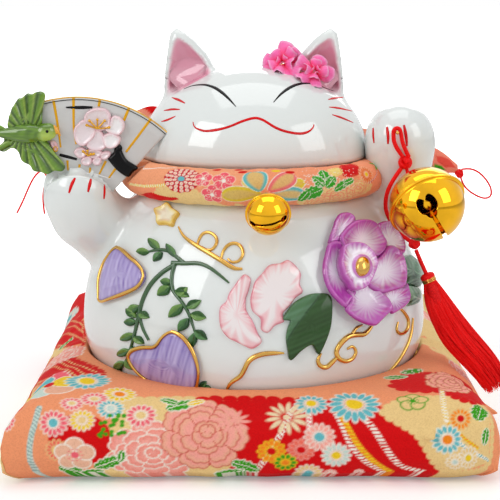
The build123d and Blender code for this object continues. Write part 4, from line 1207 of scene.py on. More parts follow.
def cubic(values, known, wanted):
    """Smooth samples of rows of values known at even places."""
    step = known[1] - known[0]
    place = np.clip((wanted - known[0]) / step, 0, len(known) - 1 - 1e-9)
    index = place.astype(int)
    t = (place - index).reshape(-1, *([1] * (values.ndim - 1)))
    padded = np.concatenate([2 * values[:1] - values[1:2], values, 2 * values[-1:] - values[-2:-1]])
    a, b, c, d = (padded[index + shift] for shift in range(4))
    return 0.5 * (2 * b + (c - a) * t + (2 * a - 5 * b + 4 * c - d) * t**2 + (3 * b - a - 3 * c + d) * t**3)


def top_sheet(u, v):
    """The cushion's top sheet as it is cut and stuffed, before it swells, on a grid of flat coordinates."""
    from_u, from_v = cloth_half - np.abs(u), cloth_half - np.abs(v)
    inset_u = np.interp(from_u, edge_rows[:, 0], edge_rows[:, 1])
    inset_v = np.interp(from_v, edge_rows[:, 0], edge_rows[:, 1])
    nearest = -np.log(np.exp(-from_u / 9)
                      + np.exp(-from_v / 9)) * 9 + 9 * log(2) * np.exp(-np.abs(from_u - from_v) / 20)
    nearest = np.where(np.minimum(from_u, from_v) < 1e-6, 0.0, np.maximum(nearest, 0))
    z = np.interp(nearest, edge_rows[:, 0], edge_rows[:, 2])
    x = np.sign(u) * (cushion_half - inset_u)
    y = np.sign(v) * (cushion_half - inset_v)
    crown = edge_rows[-1, 2] - seam_height
    corner = fade(np.abs(x) / cushion_half, 0.6, 1) * fade(np.abs(y) / cushion_half, 0.6, 1)
    z = z + corner**1.5 * (z - seam_height) / crown * np.where(y > 0, 12.0, 2.0)
    rounding = 1 - np.where(x > 0, 0.055, np.where(y > 0, 0.04, 0.005)) * corner**3
    x, y = x * rounding, y * rounding
    pull = cushion_draw / cushion_half
    return np.stack([x * (1 - pull * (1 - (y / cushion_half) ** 2)),
                     y * (1 - pull * (1 - (x / cushion_half) ** 2)), z], -1)


def swell(points, frames=20, cap=7.0):
    """Blow up the top sheet by cloth simulation; each point moves no further than a cap."""
    under = points.copy()
    under[..., 2] = seam_height - 0.18 * (points[..., 2] - seam_height)
    shell = bmesh.new()
    for sheet in (points, under):
        sheet_mesh(shell, sheet)
    mesh = mesh_of("swell", closed_out(welded(shell)))
    holder = linked("swell", mesh)
    cloth = holder.modifiers.new("cloth", "CLOTH")
    cloth.settings.use_pressure = True
    cloth.settings.uniform_pressure_force = 4.0
    cloth.settings.effector_weights.gravity = 0.0
    cloth.settings.quality = 5
    cloth.settings.mass = 0.3
    cloth.settings.bending_stiffness = 0.3
    cloth.point_cache.frame_start = 1
    cloth.point_cache.frame_end = frames
    scene = bpy.context.scene
    for frame_number in range(1, frames + 1):
        scene.frame_set(frame_number)
    before = points_of(mesh)
    moved = points_of(holder.evaluated_get(bpy.context.evaluated_depsgraph_get()).to_mesh()) - before
    scene.frame_set(1)
    bpy.data.objects.remove(holder)
    bpy.data.meshes.remove(mesh)
    moved *= np.minimum(1, cap / np.maximum(length(*moved.T), 1e-6))[:, None]
    table = {tuple(np.round(point, 2)): move for point, move in zip(before, moved)}
    shift = np.array([table.get(tuple(np.round(point, 2)), (0, 0, 0)) for point in points.reshape(-1, 3)])
    return points + shift.reshape(points.shape)


coarse = np.linspace(-cloth_half, cloth_half, 75)
coarse_u, coarse_v = np.meshgrid(coarse, coarse)
blown = top_sheet(coarse_u, coarse_v)
blown = swell(blown)
blown[..., :2] *= (cushion_half + 1.5) / np.abs(blown[..., :2]).max()
fine_u = np.linspace(-cloth_half, cloth_half, 461)
fine_v = np.concatenate([np.linspace(-cloth_half, -82, 128)[:-1], np.linspace(-82, cloth_half, 112)])
pad = cubic(cubic(blown, coarse, fine_v).swapaxes(0, 1), coarse, fine_u).swapaxes(0, 1)
u_grid, v_grid = np.meshgrid(fine_u, fine_v)


def rest_under_cat(p):
    """Cloth pressed down by the cat: kept under the body, with a soft rise about it."""
    r = length(p[..., 0], p[..., 1])
    out = np.clip(r - (belly_radius - roll_radius), 0, roll_radius)
    body_low = np.where(r < belly_radius,
                        np.maximum(foot_height, belly_height - np.sqrt(roll_radius**2 - out**2)), 200.0)
    gap = 1.0 + 3.5 * fade(p[..., 2], 30, 44)
    ceiling = body_low - gap
    pressed = p.copy()
    soft = 7.0
    share = np.clip(0.5 + 0.5 * (ceiling - p[..., 2]) / soft, 0, 1)
    pressed[..., 2] = p[..., 2] * share + ceiling * (1 - share) - soft * share * (1 - share)
    return pressed


def creases(u, v):
    """Soft folds that run in from the seams and about the pressed middle."""
    side = cloth_half - np.maximum(np.abs(u), np.abs(v))
    along = np.where(np.abs(u) > np.abs(v), v, u)
    folds = np.sin(along / 7.5 + 2.2 * np.sin(along / 31)) * np.exp(-side / 16) * 1.1
    ring = np.sin(np.arctan2(v, u) * 26
                  + 3 * np.sin(np.arctan2(v, u) * 5)) * np.exp(-((length(u, v) - 138) / 13) ** 2) * 0.7
    return folds + ring


lean_back = (pad[..., 1] + cushion_half) / (2 * cushion_half) * 7.0 * fade(pad[..., 2], 12, 40)
pad[..., 2] += lean_back
fold = creases(u_grid, v_grid)
pad[..., 2] += fold * fade(pad[..., 2], 24, 44)
side_push = fold * (1 - fade(pad[..., 2], 24, 44))
pad[..., :2] *= (1 + side_push / cushion_half)[..., None]
pad = rest_under_cat(pad)
pad[..., 2] = np.maximum(pad[..., 2], 0.6)
cover = Print(pad, u_grid, v_grid, ink_peach)

seam = -cloth_half - 4
left_foot, mid_foot, right_foot = (cover.spot(across, 476)[0] for across in (104, 238, 441))
cover.zone([(-190, -190), (-190, 60), (-120, 60), (-150, -80)], ink_cream, 7)
cover.zone([(60, 190), (190, 190), (190, 20), (140, -40), (90, 60)], ink_cream, 9)
cover.zone([(-60, 190), (-190, 190), (-190, 90), (-120, 70), (-40, 120)], ink_red, 9)
cover.zone(cover.spots((112, 400), (160, 399), (212, 401), (232, 425), (234, 452), (238, 474))
           + [(mid_foot, seam), (left_foot, seam)]
           + cover.spots((104, 466), (100, 440), (124, 424)), ink_cream, 4)
cover.zone(cover.spots((203, 400), (262, 399), (330, 404), (372, 409), (386, 418), (404, 429), (419, 439),
                       (429, 456), (440, 470))
           + [(right_foot, seam), (mid_foot - 3, seam)] + cover.spots((236, 470), (233, 446), (224, 424)),
           ink_red, 4.5)
cover.zone(cover.spots((384, 412), (404, 400), (436, 397), (470, 404), (487, 410), (489, 462), (450, 476),
                       (438, 466), (428, 450),
                 (417, 434), (402, 424)), ink_cream, 3)
cover.zone(cover.spots((394, 386), (410, 374), (436, 374), (464, 382), (487, 396), (474, 402), (456, 397),
                       (440, 391), (418, 391)),
           ink_red, 4)
cover.zone(cover.spots((64, 320), (82, 320), (84, 343), (70, 347), (54, 345)), ink_red, 2)
cover.zone(cover.spots((40, 362), (60, 357), (84, 362), (103, 372), (96, 379), (60, 379), (28, 384)), ink_red,
           2)
cover.zone(cover.spots((0, 402), (10, 392), (24, 386), (14, 404), (3, 418)), ink_red, 1)
for places in (((62, 324), (72, 321), (82, 325)), ((60, 331), (70, 327), (83, 332)),
               ((56, 339), (70, 334), (84, 341)),
               ((44, 366), (66, 360), (96, 372)), ((40, 371), (64, 364), (92, 376)),
               ((37, 376), (60, 369), (86, 379))):
    cover.rope(cover.spots(*places), 0.9, ink_cream, ink_cream)
part, x, y = cover.window(cover.spot(80, 440), 24)
cover.ink(part, length(x, y * 1.05) - 19, ink_red)

for places, width, first, second in (
    (((39, 408), (34, 424), (30, 440), (30, 458), (37, 478)), 4.2, ink_pale, rgb(150, 176, 172)),
    (((292, 408), (282, 430), (268, 454), (254, 478)), 3.6, ink_white, ink_red),
    (((309, 408), (310, 424), (309, 440)), 3.0, ink_white, ink_pink),
    (((333, 409), (341, 424), (352, 446), (366, 462), (384, 476)), 3.2, ink_white, ink_red),
    (((337, 409), (346, 424), (357, 444), (372, 460), (391, 474)), 3.4, ink_yellow, ink_orange),
    (((360, 414), (374, 430), (386, 450), (402, 466), (424, 476)), 3.6, ink_white, ink_red),
    (((440, 386), (443, 402), (447, 420)), 2.8, ink_white, ink_yellow),
    (((450, 424), (464, 438), (478, 448)), 2.2, ink_yellow, ink_orange),
    (((96, 402), (106, 397), (122, 396)), 2.0, ink_green, ink_green),
    (((452, 436), (470, 450), (488, 460)), 2.2, ink_white, ink_teal),
):
    cover.rope(cover.spots(*places), width, first, second)

cover.peony(cover.spot(153, 454), 27, 23, ink_rose, ink_white, ink_coral, 3)
cover.peony(cover.spot(205, 434), 26, 27, ink_rose, rgb(214, 96, 84), rgb(236, 190, 140), 4)
cover.peony(cover.spot(451, 382), 18, 20, ink_rose, rgb(206, 84, 70), ink_cream, 5)
for across, down, span, width, heading, fill in (
    (182, 405, 26, 11, 20, ink_green), (170, 401, 16, 8, -30, ink_green), (196, 402, 15, 7, 25, ink_yellow),
    (108, 463, 25, 12, 28, ink_green), (122, 456, 12, 7, 80, ink_green), (72, 470, 22, 11, -20, ink_green),
    (92, 474, 20, 8, 10, ink_green), (245, 466, 24, 13, -25, ink_green), (240, 474, 12, 7, 40, ink_green),
    (228, 479, 24, 9, 5, ink_green), (412, 371, 22, 12, 30, ink_green), (396, 377, 20, 9, 10, ink_green),
    (480, 412, 22, 20, 75, ink_green), (486, 436, 16, 10, 80, ink_green),
):
    cover.leaf(cover.spot(across, down), span * 0.74, width * 0.74, heading, fill, ink_white)
cover.plum(cover.spot(49, 385), 23, [ink_pink, ink_teal, ink_yellow, ink_pale, rgb(240, 180, 150),
                                     ink_yellow], ink_white, ink_red, 6, 75)
for across, down, radius, fill, line, heart, petals in (
    (87, 381, 19, ink_teal, ink_white, ink_yellow, 16), (354, 404, 20, ink_teal, ink_white, ink_yellow, 16),
    (311, 403, 13, ink_teal, ink_white, ink_yellow, 14),
    (120, 394, 13, ink_yellow, ink_white, ink_orange, 14),
    (72, 403, 9, ink_pink, ink_white, ink_cream, 12), (94, 399, 11, ink_pink, ink_white, ink_cream, 14),
    (82, 420, 10, ink_yellow, ink_white, ink_cream, 14), (111, 408, 10.5, ink_teal, ink_white, ink_pale, 14),
    (53, 423, 12.5, ink_pink, ink_white, ink_teal, 14), (141, 415, 12, ink_pink, ink_white, ink_cream, 14),
    (8, 425, 10, ink_pink, ink_white, ink_pale, 12), (57, 450, 10, ink_coral, ink_cream, ink_yellow, 14),
    (272, 451, 11, ink_orange, ink_yellow, ink_red, 12), (301, 450, 10.5, ink_coral, ink_rose, ink_red, 12),
    (286, 463, 9, ink_green, ink_yellow, ink_orange, 10), (319, 437, 12, ink_rose, ink_white, ink_teal, 14),
    (336, 455, 11.5, ink_pale, ink_white, ink_yellow, 14), (308, 474, 11, ink_cream, ink_white, ink_teal, 14),
    (461, 419, 11, ink_orange, ink_cream, ink_red, 14), (448, 440, 13, ink_teal, ink_white, ink_orange, 14),
    (468, 458, 11, ink_cream, ink_white, ink_yellow, 14), (331, 474, 5, ink_rose, ink_white, ink_red, 8),
    (359, 476, 4, ink_rose, ink_white, ink_red, 8), (455, 462, 8, ink_cream, ink_white, ink_pale, 12),
):
    cover.mum(cover.spot(across, down), radius * 0.74, fill, line, heart, petals)
cover.plum(cover.spot(75, 455), 12, rgb(244, 190, 160), ink_white, ink_pink)
cover.plum(cover.spot(413, 401), 9, ink_cream, ink_green, ink_green)
cover.burst(cover.spot(233, 421), 10.5, ink_rose, 12)
cover.burst(cover.spot(286, 417), 12.5, rgb(244, 222, 180), 13)
dots = np.random.default_rng(5)
for number in range(26):
    part, x, y = cover.window(cover.spot(113 + dots.uniform(-14, 14), 424 + dots.uniform(-9, 12)), 3)
    cover.ink(part, length(x, y) - 1.3, ink_green)

scatter = np.random.default_rng(14)
placed = []
while len(placed) < 34:
    place = scatter.uniform(-178, 178, 2)
    hidden_side = abs(place[0]) > 172 or place[1] > -62 and length(*place) > 134
    if not hidden_side or any(hypot(*(place - other)) < 24 for other in placed):
        continue
    scattered(cover, place, len(placed), scatter, (22, 20), (22, 9), (8, 13), 13)
    placed.append(place)


cushion_cloth = bmesh.new()
sheet_mesh(cushion_cloth, pad, cover.colour)


def round_rim(grid):
    """Rows of a grid's rim, once round and closed."""
    return np.concatenate([grid[0, :-1], grid[:-1, -1], grid[-1, :0:-1], grid[::-1, 0]])


rim = round_rim(pad)
under_rows = []
for share, height in ((0.0, None), (0.012, 7.2), (0.03, 4.6), (0.05, 2.4), (0.08, 1.2), (0.14, 0.7),
                      (0.5, 0.7), (0.999, 0.7)):
    row = rim * (1 - share) + share * np.array((0, 0, 0.7))
    if height is not None:
        row[:, 2] = height
    under_rows.append(row)
under_points = np.stack(under_rows)
sheet_mesh(cushion_cloth, under_points, np.broadcast_to(round_rim(cover.colour), under_points.shape))
welded(cushion_cloth, gap=2e-5)
bmesh.ops.contextual_create(cushion_cloth, geom=[edge for edge in cushion_cloth.edges if edge.is_boundary])
cushion_piece = piece("cushion_cover", cushion_cloth, printed_crepe, "cushion", "cushion")

# ---------------------------------------------------------------- camellia
camellia_white, camellia_magenta, camellia_deep = rgb(248, 238, 252), rgb(196, 80, 184), rgb(148, 24, 134)


def before_rise(places, height):
    """Places of the front view at the foot of a face that stands this high and shows at the given places."""
    places = np.asarray(places, float)
    start = places.reshape(-1, 2).copy()
    goal = start.copy()
    for _ in range(4):
        foot = seen(start, body_field)
        way, _ = slope(body_field, foot)
        start += goal - shown_at(foot + height * way)[0]
    return start.reshape(places.shape)


def camellia_petal(target, outline, middle, low, high, seed, curl=0.0, white_at=(0, 0), white_reach=12.0,
                   thick=3.0):
    """Petal cast over the body: low at the flower's heart, high at the rim, with a rolled edge."""
    height = 0.4 * low + 0.6 * high
    outline, middle, white_at, heart = (before_rise(places, height)
                                        for places in (outline, middle, white_at, (361, 266)))

    def top(facts):
        reach = length(facts["x"] - heart[0], facts["y"] - heart[1])
        rise = low + (high - low) * fade(reach, 18, 50) ** 1.3
        roll = 1.3 * np.exp(-((facts["edge"] - 2.4) / 2.0) ** 2)
        bowl = -1.6 * fade(facts["edge"], 2.0, 9.0)
        side = np.arctan2(facts["y"] - heart[1], facts["x"] - heart[0])
        return rise + roll + bowl + curl * np.cos(3 * side) + 0.35 * np.sin(9 * side + seed)

    def colour(facts):
        marks = streaks(facts["turn"] * 13 + 0.2 * facts["x"], seed, 1.7)
        away = length(facts["x"] - white_at[0], facts["y"] - white_at[1])
        tint = shade(fade(away + 7 * (marks - 0.5), white_reach * 0.6, white_reach * 1.9), camellia_white,
                     camellia_magenta)
        tint = shade(fade(5.0 + 2.5 * marks - facts["edge"], 0, 5.0) * 0.8, tint, camellia_magenta)
        tint = shade(fade(1.5 - facts["edge"], 0, 1.0) * 0.7, tint, camellia_deep)
        return shade(0.25 * (1 - marks) * fade(away, 4, 16), tint, camellia_deep)

    web(target, outline, middle, body_field, top, colour, floor=-thick, edge=1.8, rings=20, segments=90)


outer = bmesh.new()
camellia_rows = [  # outline, middle, heights at the heart and the rim, place and reach of the white
    ([(328.7, 243.1), (329.5, 236.5), (332.8, 226.6), (334.5, 220.8), (339, 214.1), (346.1, 212.5),
      (351.5, 214.5),
      (355.2, 218.7), (354.4, 223), (350, 229), (346, 236), (341, 241), (335, 243)],
     (340, 229), 4.0, 6.4, (341, 230), 8.0),
    ([(378, 224.1), (381.3, 221.6), (386.3, 221), (390.6, 222.8), (395.4, 229), (400.4, 235.7),
      (403.7, 241.5),
      (404.7, 248.9), (403.4, 254.1), (396, 254), (389, 251), (384, 242), (379, 232)],
     (392, 238), 4.0, 7.0, (393, 240), 9.0),
    ([(402.9, 287.1), (406, 282.8), (408.2, 289.6), (409.8, 297), (408, 303), (402.9, 308), (394.6, 313),
      (390.6, 313.8),
      (387, 308), (383, 298), (380, 291), (390, 287)],
     (396, 299), 4.0, 6.6, (393, 296), 7.0),
    ([(328.7, 242.7), (332.8, 240.5), (339, 239.7), (346, 243), (348, 254.8), (348, 264.7), (350, 273.8),
      (354, 280.5),
      (358, 286), (358, 292), (354, 299), (350.7, 303), (346.5, 308), (339.9, 303.8), (331.6, 294.7),
      (326.4, 283.8),
      (323.5, 273.8), (323.5, 264.7), (325.6, 253.9), (327, 246.5)],
     (338, 273), 5.4, 8.6, (339, 268), 11.0),
    ([(348, 289), (359.8, 283), (368.1, 281), (375, 283), (380, 288), (384.7, 293.7), (388.4, 297.2),
      (391.5, 303.7),
      (391.9, 309.6), (385.5, 316.3), (379.7, 322.1), (374.3, 325.9), (366.4, 325), (354.8, 319.6),
      (346.3, 312.1),
      (345.5, 307.8), (350.7, 301.2), (351, 295)],
     (369, 303), 5.6, 9.4, (367, 293), 13.0),
    ([(339.9, 236.1), (343.2, 230.7), (348.2, 224.9), (354.8, 220.3), (363.1, 219.3), (371.4, 220.2),
      (378, 223.9),
      (381.3, 229), (385.5, 236.5), (388.1, 242.3), (387, 248.9), (383, 254.3), (378, 256), (372, 254),
      (364, 250),
      (354, 250), (346.5, 250), (342, 243)],
     (364, 237), 6.2, 10.2, (367, 241), 10.0),
    ([(381, 256), (385.5, 250.6), (388, 245.6), (392.9, 244.2), (397.9, 247.3), (402.2, 253.9), (405.1, 263),
      (406.8, 272.2), (405.9, 282.1), (402.9, 287.3), (394.6, 290.6), (384.7, 293.1), (378, 291), (371, 286),
      (368, 280), (370, 270), (374, 260)],
     (388, 270), 6.6, 10.6, (385, 270), 11.0),
]
for number, (outline, middle, low, high, white_at, reach) in enumerate(camellia_rows):
    camellia_petal(outer, outline, middle, low, high, 41 + number, 0.3, white_at, reach)
piece("camellia_outer_petals", outer, petal_enamel, "cat", "camellia_outer_petals")

cup_outline = [
    (342.8, 251.4), (344, 244.8), (348.2, 241.5), (356.5, 239.7), (364.8, 240.9), (371.4, 245.5),
    (376.4, 251.3), (379.5, 258.1), (380.3, 263.9), (377.4, 273.8), (373.2, 282.3), (368.1, 288.1),
    (359.8, 290.7), (354, 288.9), (349.8, 282.1), (345.7, 276.3), (342.6, 267.2), (341.7, 258.1),
]


cup_height = 14.0
cup_outline, cup_middle = before_rise(cup_outline, cup_height), before_rise((363.5, 265.5), cup_height)


def cup_top(facts):
    reach = length((facts["x"] - cup_middle[0]) / 0.8, facts["y"] - cup_middle[1])
    wall = cup_height - 4.0 * fade(facts["edge"], 1.2, 9.0) ** 0.8
    mound = 4.0 * np.exp(-(reach / 11.5) ** 4)
    return wall + mound


def cup_colour(facts):
    marks = streaks(facts["turn"] * 15, 60, 1.6)
    reach = length((facts["x"] - cup_middle[0]) / 0.8, facts["y"] - cup_middle[1])
    tint = shade(fade(4.6 + 3.0 * marks - facts["edge"], 0, 4.0) * 0.9, camellia_white, camellia_magenta)
    tint = shade(fade(1.3 - facts["edge"], 0, 1.0) * 0.6, tint, camellia_deep)
    return shade(fade(11.7 - reach, 0, 1.0) * 0.85, tint, camellia_magenta)


cup = bmesh.new()
web(cup, cup_outline, before_rise((362, 265), cup_height), body_field, cup_top, cup_colour, floor=5.5,
    edge=2.2, rings=34, segments=120)
piece("camellia_inner_cup", cup, petal_enamel, "cat", "camellia_inner_cup")

heart_ring = [(363.6 + 7.2 * cos(radians(turn)), 265.8 + 10.4 * sin(radians(turn)))
              for turn in range(0, 360, 20)]
dome = bmesh.new()
web(dome, before_rise(heart_ring, 14.5), before_rise((363.6, 265.8), 14.5), body_field,
    lambda facts: 12.6 + 4.6 * np.sqrt(np.clip(1 - facts["out"] ** 2, 0, 1)),
    lambda facts: np.ones((len(facts["x"]), 3)), floor=11.4, edge=0.8, rings=16, segments=60)
piece("camellia_eye", dome, lustre, "cat", "camellia_eye")


def veined(foot, tip, dark, mid, light, seed):
    foot, tip = np.array(foot, float), np.array(tip, float)
    along = (tip - foot) / np.hypot(*(tip - foot))
    across = np.array((-along[1], along[0]))

    def colour(facts):
        place = np.stack([facts["x"], facts["y"]], 1) - foot
        side, run = place @ across, place @ along
        tint = shade(fade(side, -3, 3), mid, dark)
        tint = shade(0.5 * streaks(run * 0.8 + np.abs(side) * 0.7, seed, 1.5), tint, light)
        return shade(fade(0.9 - np.abs(side), 0, 0.7) * 0.8, tint, light)

    return colour


behind = bmesh.new()
web(behind, [(396, 262), (404.6, 255.6), (408.7, 256.2), (414.5, 262), (419.6, 269.7), (421.1, 276.3),
             (419, 282.9),
             (415.7, 288.1), (408.7, 285.6), (400, 283), (396, 274)],
    (408, 271), body_field, swollen(4.6, 6),
    veined((396, 268), (421, 278), rgb(24, 62, 38), rgb(58, 112, 74), rgb(132, 176, 140), 71), rings=14)
web(behind, [(398, 288), (405.4, 285.2), (410.4, 286.2), (415.7, 288.5), (417.8, 292.9), (417.8, 298.7),
             (414.9, 303.7),
             (407, 306.5), (400, 303), (397, 295)],
    (408, 295), body_field, swollen(4.2, 6),
    veined((398, 294), (418, 300), rgb(30, 72, 46), rgb(86, 136, 96), rgb(170, 202, 170), 72), rings=14)
piece("camellia_leaves", behind, leaf_enamel, "cat", "camellia_leaves")

# ---------------------------------------------------------------- fan
fan_thickness = 4.5
fan_radius = 98.0
fan_lean = (-26, 43)
fan_edge = 0.9


def fan_field(p):
    """Distance in front of the fan's face."""
    return fan_front - p[:, 1]


def fan_arc(radius, depth, count):
    """Even points of an arc about the fan's hub, from one side of the plate to the other."""
    lean = np.radians(np.linspace(*fan_lean, count))
    return np.stack([fan_hub[0] + radius * np.sin(lean), np.full(count, depth),
                     fan_hub[1] + radius * np.cos(lean)], 1)


fan_back = fan_front + fan_thickness
plate_points = np.stack([fan_arc(radius, depth, 60) for radius, depth in (
    (30, fan_front), (50, fan_front), (75, fan_front), (90, fan_front), (fan_radius - 0.8, fan_front),
    (fan_radius, fan_front + fan_edge),
    (fan_radius, fan_back - fan_edge), (fan_radius - 0.8, fan_back), (75, fan_back), (50, fan_back),
    (30, fan_back), (30, fan_front),
)])
plate = bmesh.new()
sheet_mesh(plate, plate_points, np.broadcast_to(rgb(208, 208, 206), plate_points.shape))
welded(plate, gap=1e-6)
bmesh.ops.holes_fill(plate, edges=plate.edges, sides=0)
piece("fan_plate", plate, glaze("fan_glaze", ripple=0.01), "cat", "fan_plate")


def strip(target, view_points, widths, tone, lift=0.3, count=24):
    """Add a painted band with a tone, on the fan."""
    places, way = band_lanes(view_points, widths, fan_field, count, (-1.0, -0.6, 0.0, 0.6, 1.0, 0.0, -1.0))
    lifts = np.array([0.05, 0.9, 1.0, 0.9, 0.05, -0.5 / lift, 0.05]) * lift
    places = places + way[:, None] * lifts[:, None]
    sheet_mesh(target, places, np.broadcast_to(tone, places.shape))


gold_line = rgb(232, 172, 22)
ribs = bmesh.new()
for view_points, widths in (
    ([(53.5, 100.7), (57.4, 123), (60.7, 147.5)], (2.2, 1.8, 1.3)),
    ([(73.5, 97.9), (73.9, 128.6), (76.3, 144.2)], (2.2, 1.8, 1.6)),
    ([(99.8, 100.1), (98.7, 106.5)], (2.2, 1.9)), ([(128.8, 108.5), (123.8, 120.6)], (2.0, 2.2)),
    ([(151.1, 118.5), (138.3, 135.8), (126, 152)], (2.0, 1.9, 1.7)),
    ([(67.4, 160.4), (68, 170.4)], (1.9, 1.2)),
    ([(79.7, 164.3), (78.6, 172.1)], (1.9, 1.3)), ([(90.3, 167.6), (89.7, 173.2)], (1.7, 1.2)),
    ([(105.9, 160.9), (99.2, 174.3)], (2.0, 1.3)), ([(115.4, 168.8), (108.7, 178.2)], (1.9, 1.3)),
):
    strip(ribs, view_points, widths, gold_line, count=12)
black_line, painted_highlight_white = rgb(2, 2, 3), rgb(250, 250, 250)
strip(ribs, [(66, 107.4), (79, 107.5), (92.5, 107.4)], (1.1, 2.4, 2.6, 1.6), black_line, 0.4)
strip(ribs, [(59.6, 154.8), (68, 156.9), (76.9, 159.3)], (2.2, 2.4, 1.8), black_line, 0.4)
# painted highlight: a white line along the fan's foot, where the top of the paw meets it
strip(ribs, [(66, 174), (76.9, 173), (85.8, 173.2), (98.1, 174.9), (110.4, 178.8)], (0.5, 1.0, 1.0, 0.9, 0.5),
      painted_highlight_white, 0.35)
piece("fan_ribs_strokes_and_painted_highlight", ribs, glaze("fan_enamel_and_painted_highlight", roughness=0.14, coat=0.0, index=1.3), "cat")

drawn("fan_gilt_rim", [(fan_arc(fan_radius - 0.1, fan_front + 1.2, 40), 0.85)], lustre, "cat")
drawn("fan_dark_line", [(fan_arc(fan_radius - 1.6, fan_front - 0.05, 40), 0.32)], black_enamel, "cat")

# ---------------------------------------------------------------- blossoms on the fan
blush, blush_white, blush_edge = rgb(238, 222, 226), rgb(248, 244, 245), rgb(240, 184, 194)


def fan_petal(target, outline, middle, low, high, seed, tone=blush, eye_at=(98, 128)):
    """Add a petal on the fan: low at the flower's eye, with a tinted edge."""
    def top(facts):
        reach = length(facts["x"] - eye_at[0], facts["y"] - eye_at[1])
        rise = low + (high - low) * fade(reach, 2, 24)
        return rise + 0.7 * np.exp(-((facts["edge"] - 1.6) / 1.1) ** 2) - 0.9 * fade(facts["edge"], 1.2, 6)

    def colour(facts):
        marks = streaks(facts["turn"] * 9, seed, 1.5)
        tint = shade(fade(2.4 + 1.6 * marks - facts["edge"], 0, 2.6) * 0.75, tone, blush_edge)
        return shade(0.3 * marks, tint, blush_white)

    web(target, outline, middle, fan_field, top, colour, floor=0.0, edge=1.3, rings=14, segments=64)


large = bmesh.new()
for number, (outline, middle, low, high, tone) in enumerate((
    ([(86.4, 145.9), (88.1, 138.6), (93, 131), (98, 129), (102, 131), (105.9, 137.5), (107.2, 144.2),
      (105.9, 148.1), (99.2, 151.2), (91.4, 150.1)],
     (97, 140), 2.6, 3.4, blush),
    ([(73.8, 135.3), (74.1, 128.6), (78, 123), (83.6, 119.1), (90.3, 121.9), (95.9, 127.5), (97, 131.9),
      (94.7, 137.5), (89.2, 143.1), (83, 146.4), (76.9, 143.3)],
     (84, 132), 2.8, 4.2, blush),
    ([(102, 137.5), (105.4, 133.6), (110.4, 131.7), (116, 133), (121.3, 137.5), (120, 143.3), (116, 147.5),
      (109.3, 148.7), (104.2, 145.3)],
     (112, 140), 2.8, 4.4, blush_white),
    ([(110.9, 118), (114.8, 115), (121.5, 117.2), (125.2, 123), (124.5, 129.7), (120.4, 134.7), (116, 135.3),
      (108.1, 132.5), (105, 129), (109, 124.1)],
     (116, 125), 3.0, 4.6, blush_white),
    ([(84.1, 119.6), (85.8, 112.9), (92.5, 108.1), (100.3, 107.1), (107, 108.8), (111.2, 114.1),
      (111.5, 119.6), (110.9, 126.5), (105, 130), (98.1, 131), (90.3, 127)],
     (98, 119), 3.2, 4.8, blush),
)):
    fan_petal(large, outline, middle, low, high, 80 + number, tone)
piece("fan_blossom_large", large, glaze("blossom_glaze", roughness=0.06), "cat", "fan_blossom_large")
small = bmesh.new()
for number, (outline, middle) in enumerate((
    ([(73.8, 152), (78, 147.3), (84.1, 147.5), (88.1, 152), (84.7, 157.6), (78, 157.8)], (80, 152.5)),
    ([(80.8, 161.5), (83, 157), (90.3, 155.6), (92.7, 161.5), (89.2, 165.6), (83.6, 165.2)], (87, 161)),
    ([(92, 160.4), (95.9, 155.9), (101.4, 157), (102.3, 160.9), (99.8, 165.2), (94.5, 165.2)], (97.5, 160.5)),
    ([(100.3, 153.7), (104.8, 150.7), (111.3, 151.8), (110.2, 156.7), (105.4, 160), (100.9, 158.5)],
     (105.5, 155.5)),
    ([(85.8, 150.9), (91.4, 148.1), (99.2, 149.2), (103.1, 152.6), (100.3, 157), (93.6, 158.7),
      (87.5, 156.2)], (94, 153.5)),
)):
    fan_petal(small, outline, middle, 2.2 + 0.1 * number, 3.2, 90 + number, blush, (93, 155))
piece("fan_blossom_small", small, petal_enamel, "cat", "fan_blossom_small")
bud = bmesh.new()
fan_petal(bud, [(49.9, 140.8), (54.6, 140.6), (58.1, 145.3), (57.7, 151.1), (53.5, 150.2), (50.6, 145.5)],
          (54, 146), 2.0, 3.0, 97, blush_edge, (50, 141))
piece("fan_bud", bud, petal_enamel, "cat")

stamen_lines, stamen_tips = [], bmesh.new()
for foot, tips, proud in (
    ((98.1, 128.3), [(87.5, 124.7), (90.3, 120.2), (98.1, 119.1), (105.4, 120.2), (109.8, 126.9)], 4.6),
    ((88.6, 155.4), [(83.8, 150.9), (88.1, 150.4), (91.6, 153.6), (94.4, 153.4)], 3.6),
):
    for tip in tips:
        ends = seen([foot, (0.5 * (foot[0] + tip[0]), 0.5 * (foot[1] + tip[1])), tip], fan_field)
        ends[:, 1] -= np.array([proud - 0.4, proud, proud + 0.3])
        stamen_lines.append((ends, (0.55, 0.6, 0.65)))
        ball(stamen_tips, ends[-1], 1.05, (1, 0.8, 1))
ring_x, _, ring_z = seen([(56.2, 148.6)], fan_field)[0]
bud_ring = [(ring_x + 1.5 * cos(a), fan_front - 3.4, ring_z + 1.9 * sin(a))
            for a in np.linspace(0, 2 * pi, 15)]
stamen_lines.append((bud_ring, 0.4))
ochre_gilt = gilding("ochre_gilt", rgb(222, 168, 60), 0.22, 0.1)
drawn("fan_stamens", stamen_lines, ochre_gilt, "cat", "fan_stamens")
piece("fan_stamen_beads", stamen_tips, ochre_gilt, "cat")

branch = bmesh.new()
web(branch, [(108.1, 157.8), (113.5, 152), (114.8, 147.5), (119.3, 144), (122.3, 147.3), (122.3, 151.1),
             (127.1, 159.6), (138.1, 167.4),
            (133.3, 172.1), (128.2, 177), (118.2, 171.2), (109.3, 161.2)],
    (120, 161), fan_field, lambda facts: 3.6, lambda facts: np.tile(rgb(10, 10, 12), (len(facts["x"]), 1)),
    floor=0.0, edge=2.6, rings=16, segments=90)
piece("fan_branch", branch, black_enamel, "cat", "fan_branch")

# ---------------------------------------------------------------- bird
bird_dark_and_groove_shade, bird_mid, bird_pale_and_highlight = rgb(56, 92, 6), rgb(112, 156, 26), rgb(176, 204, 84)


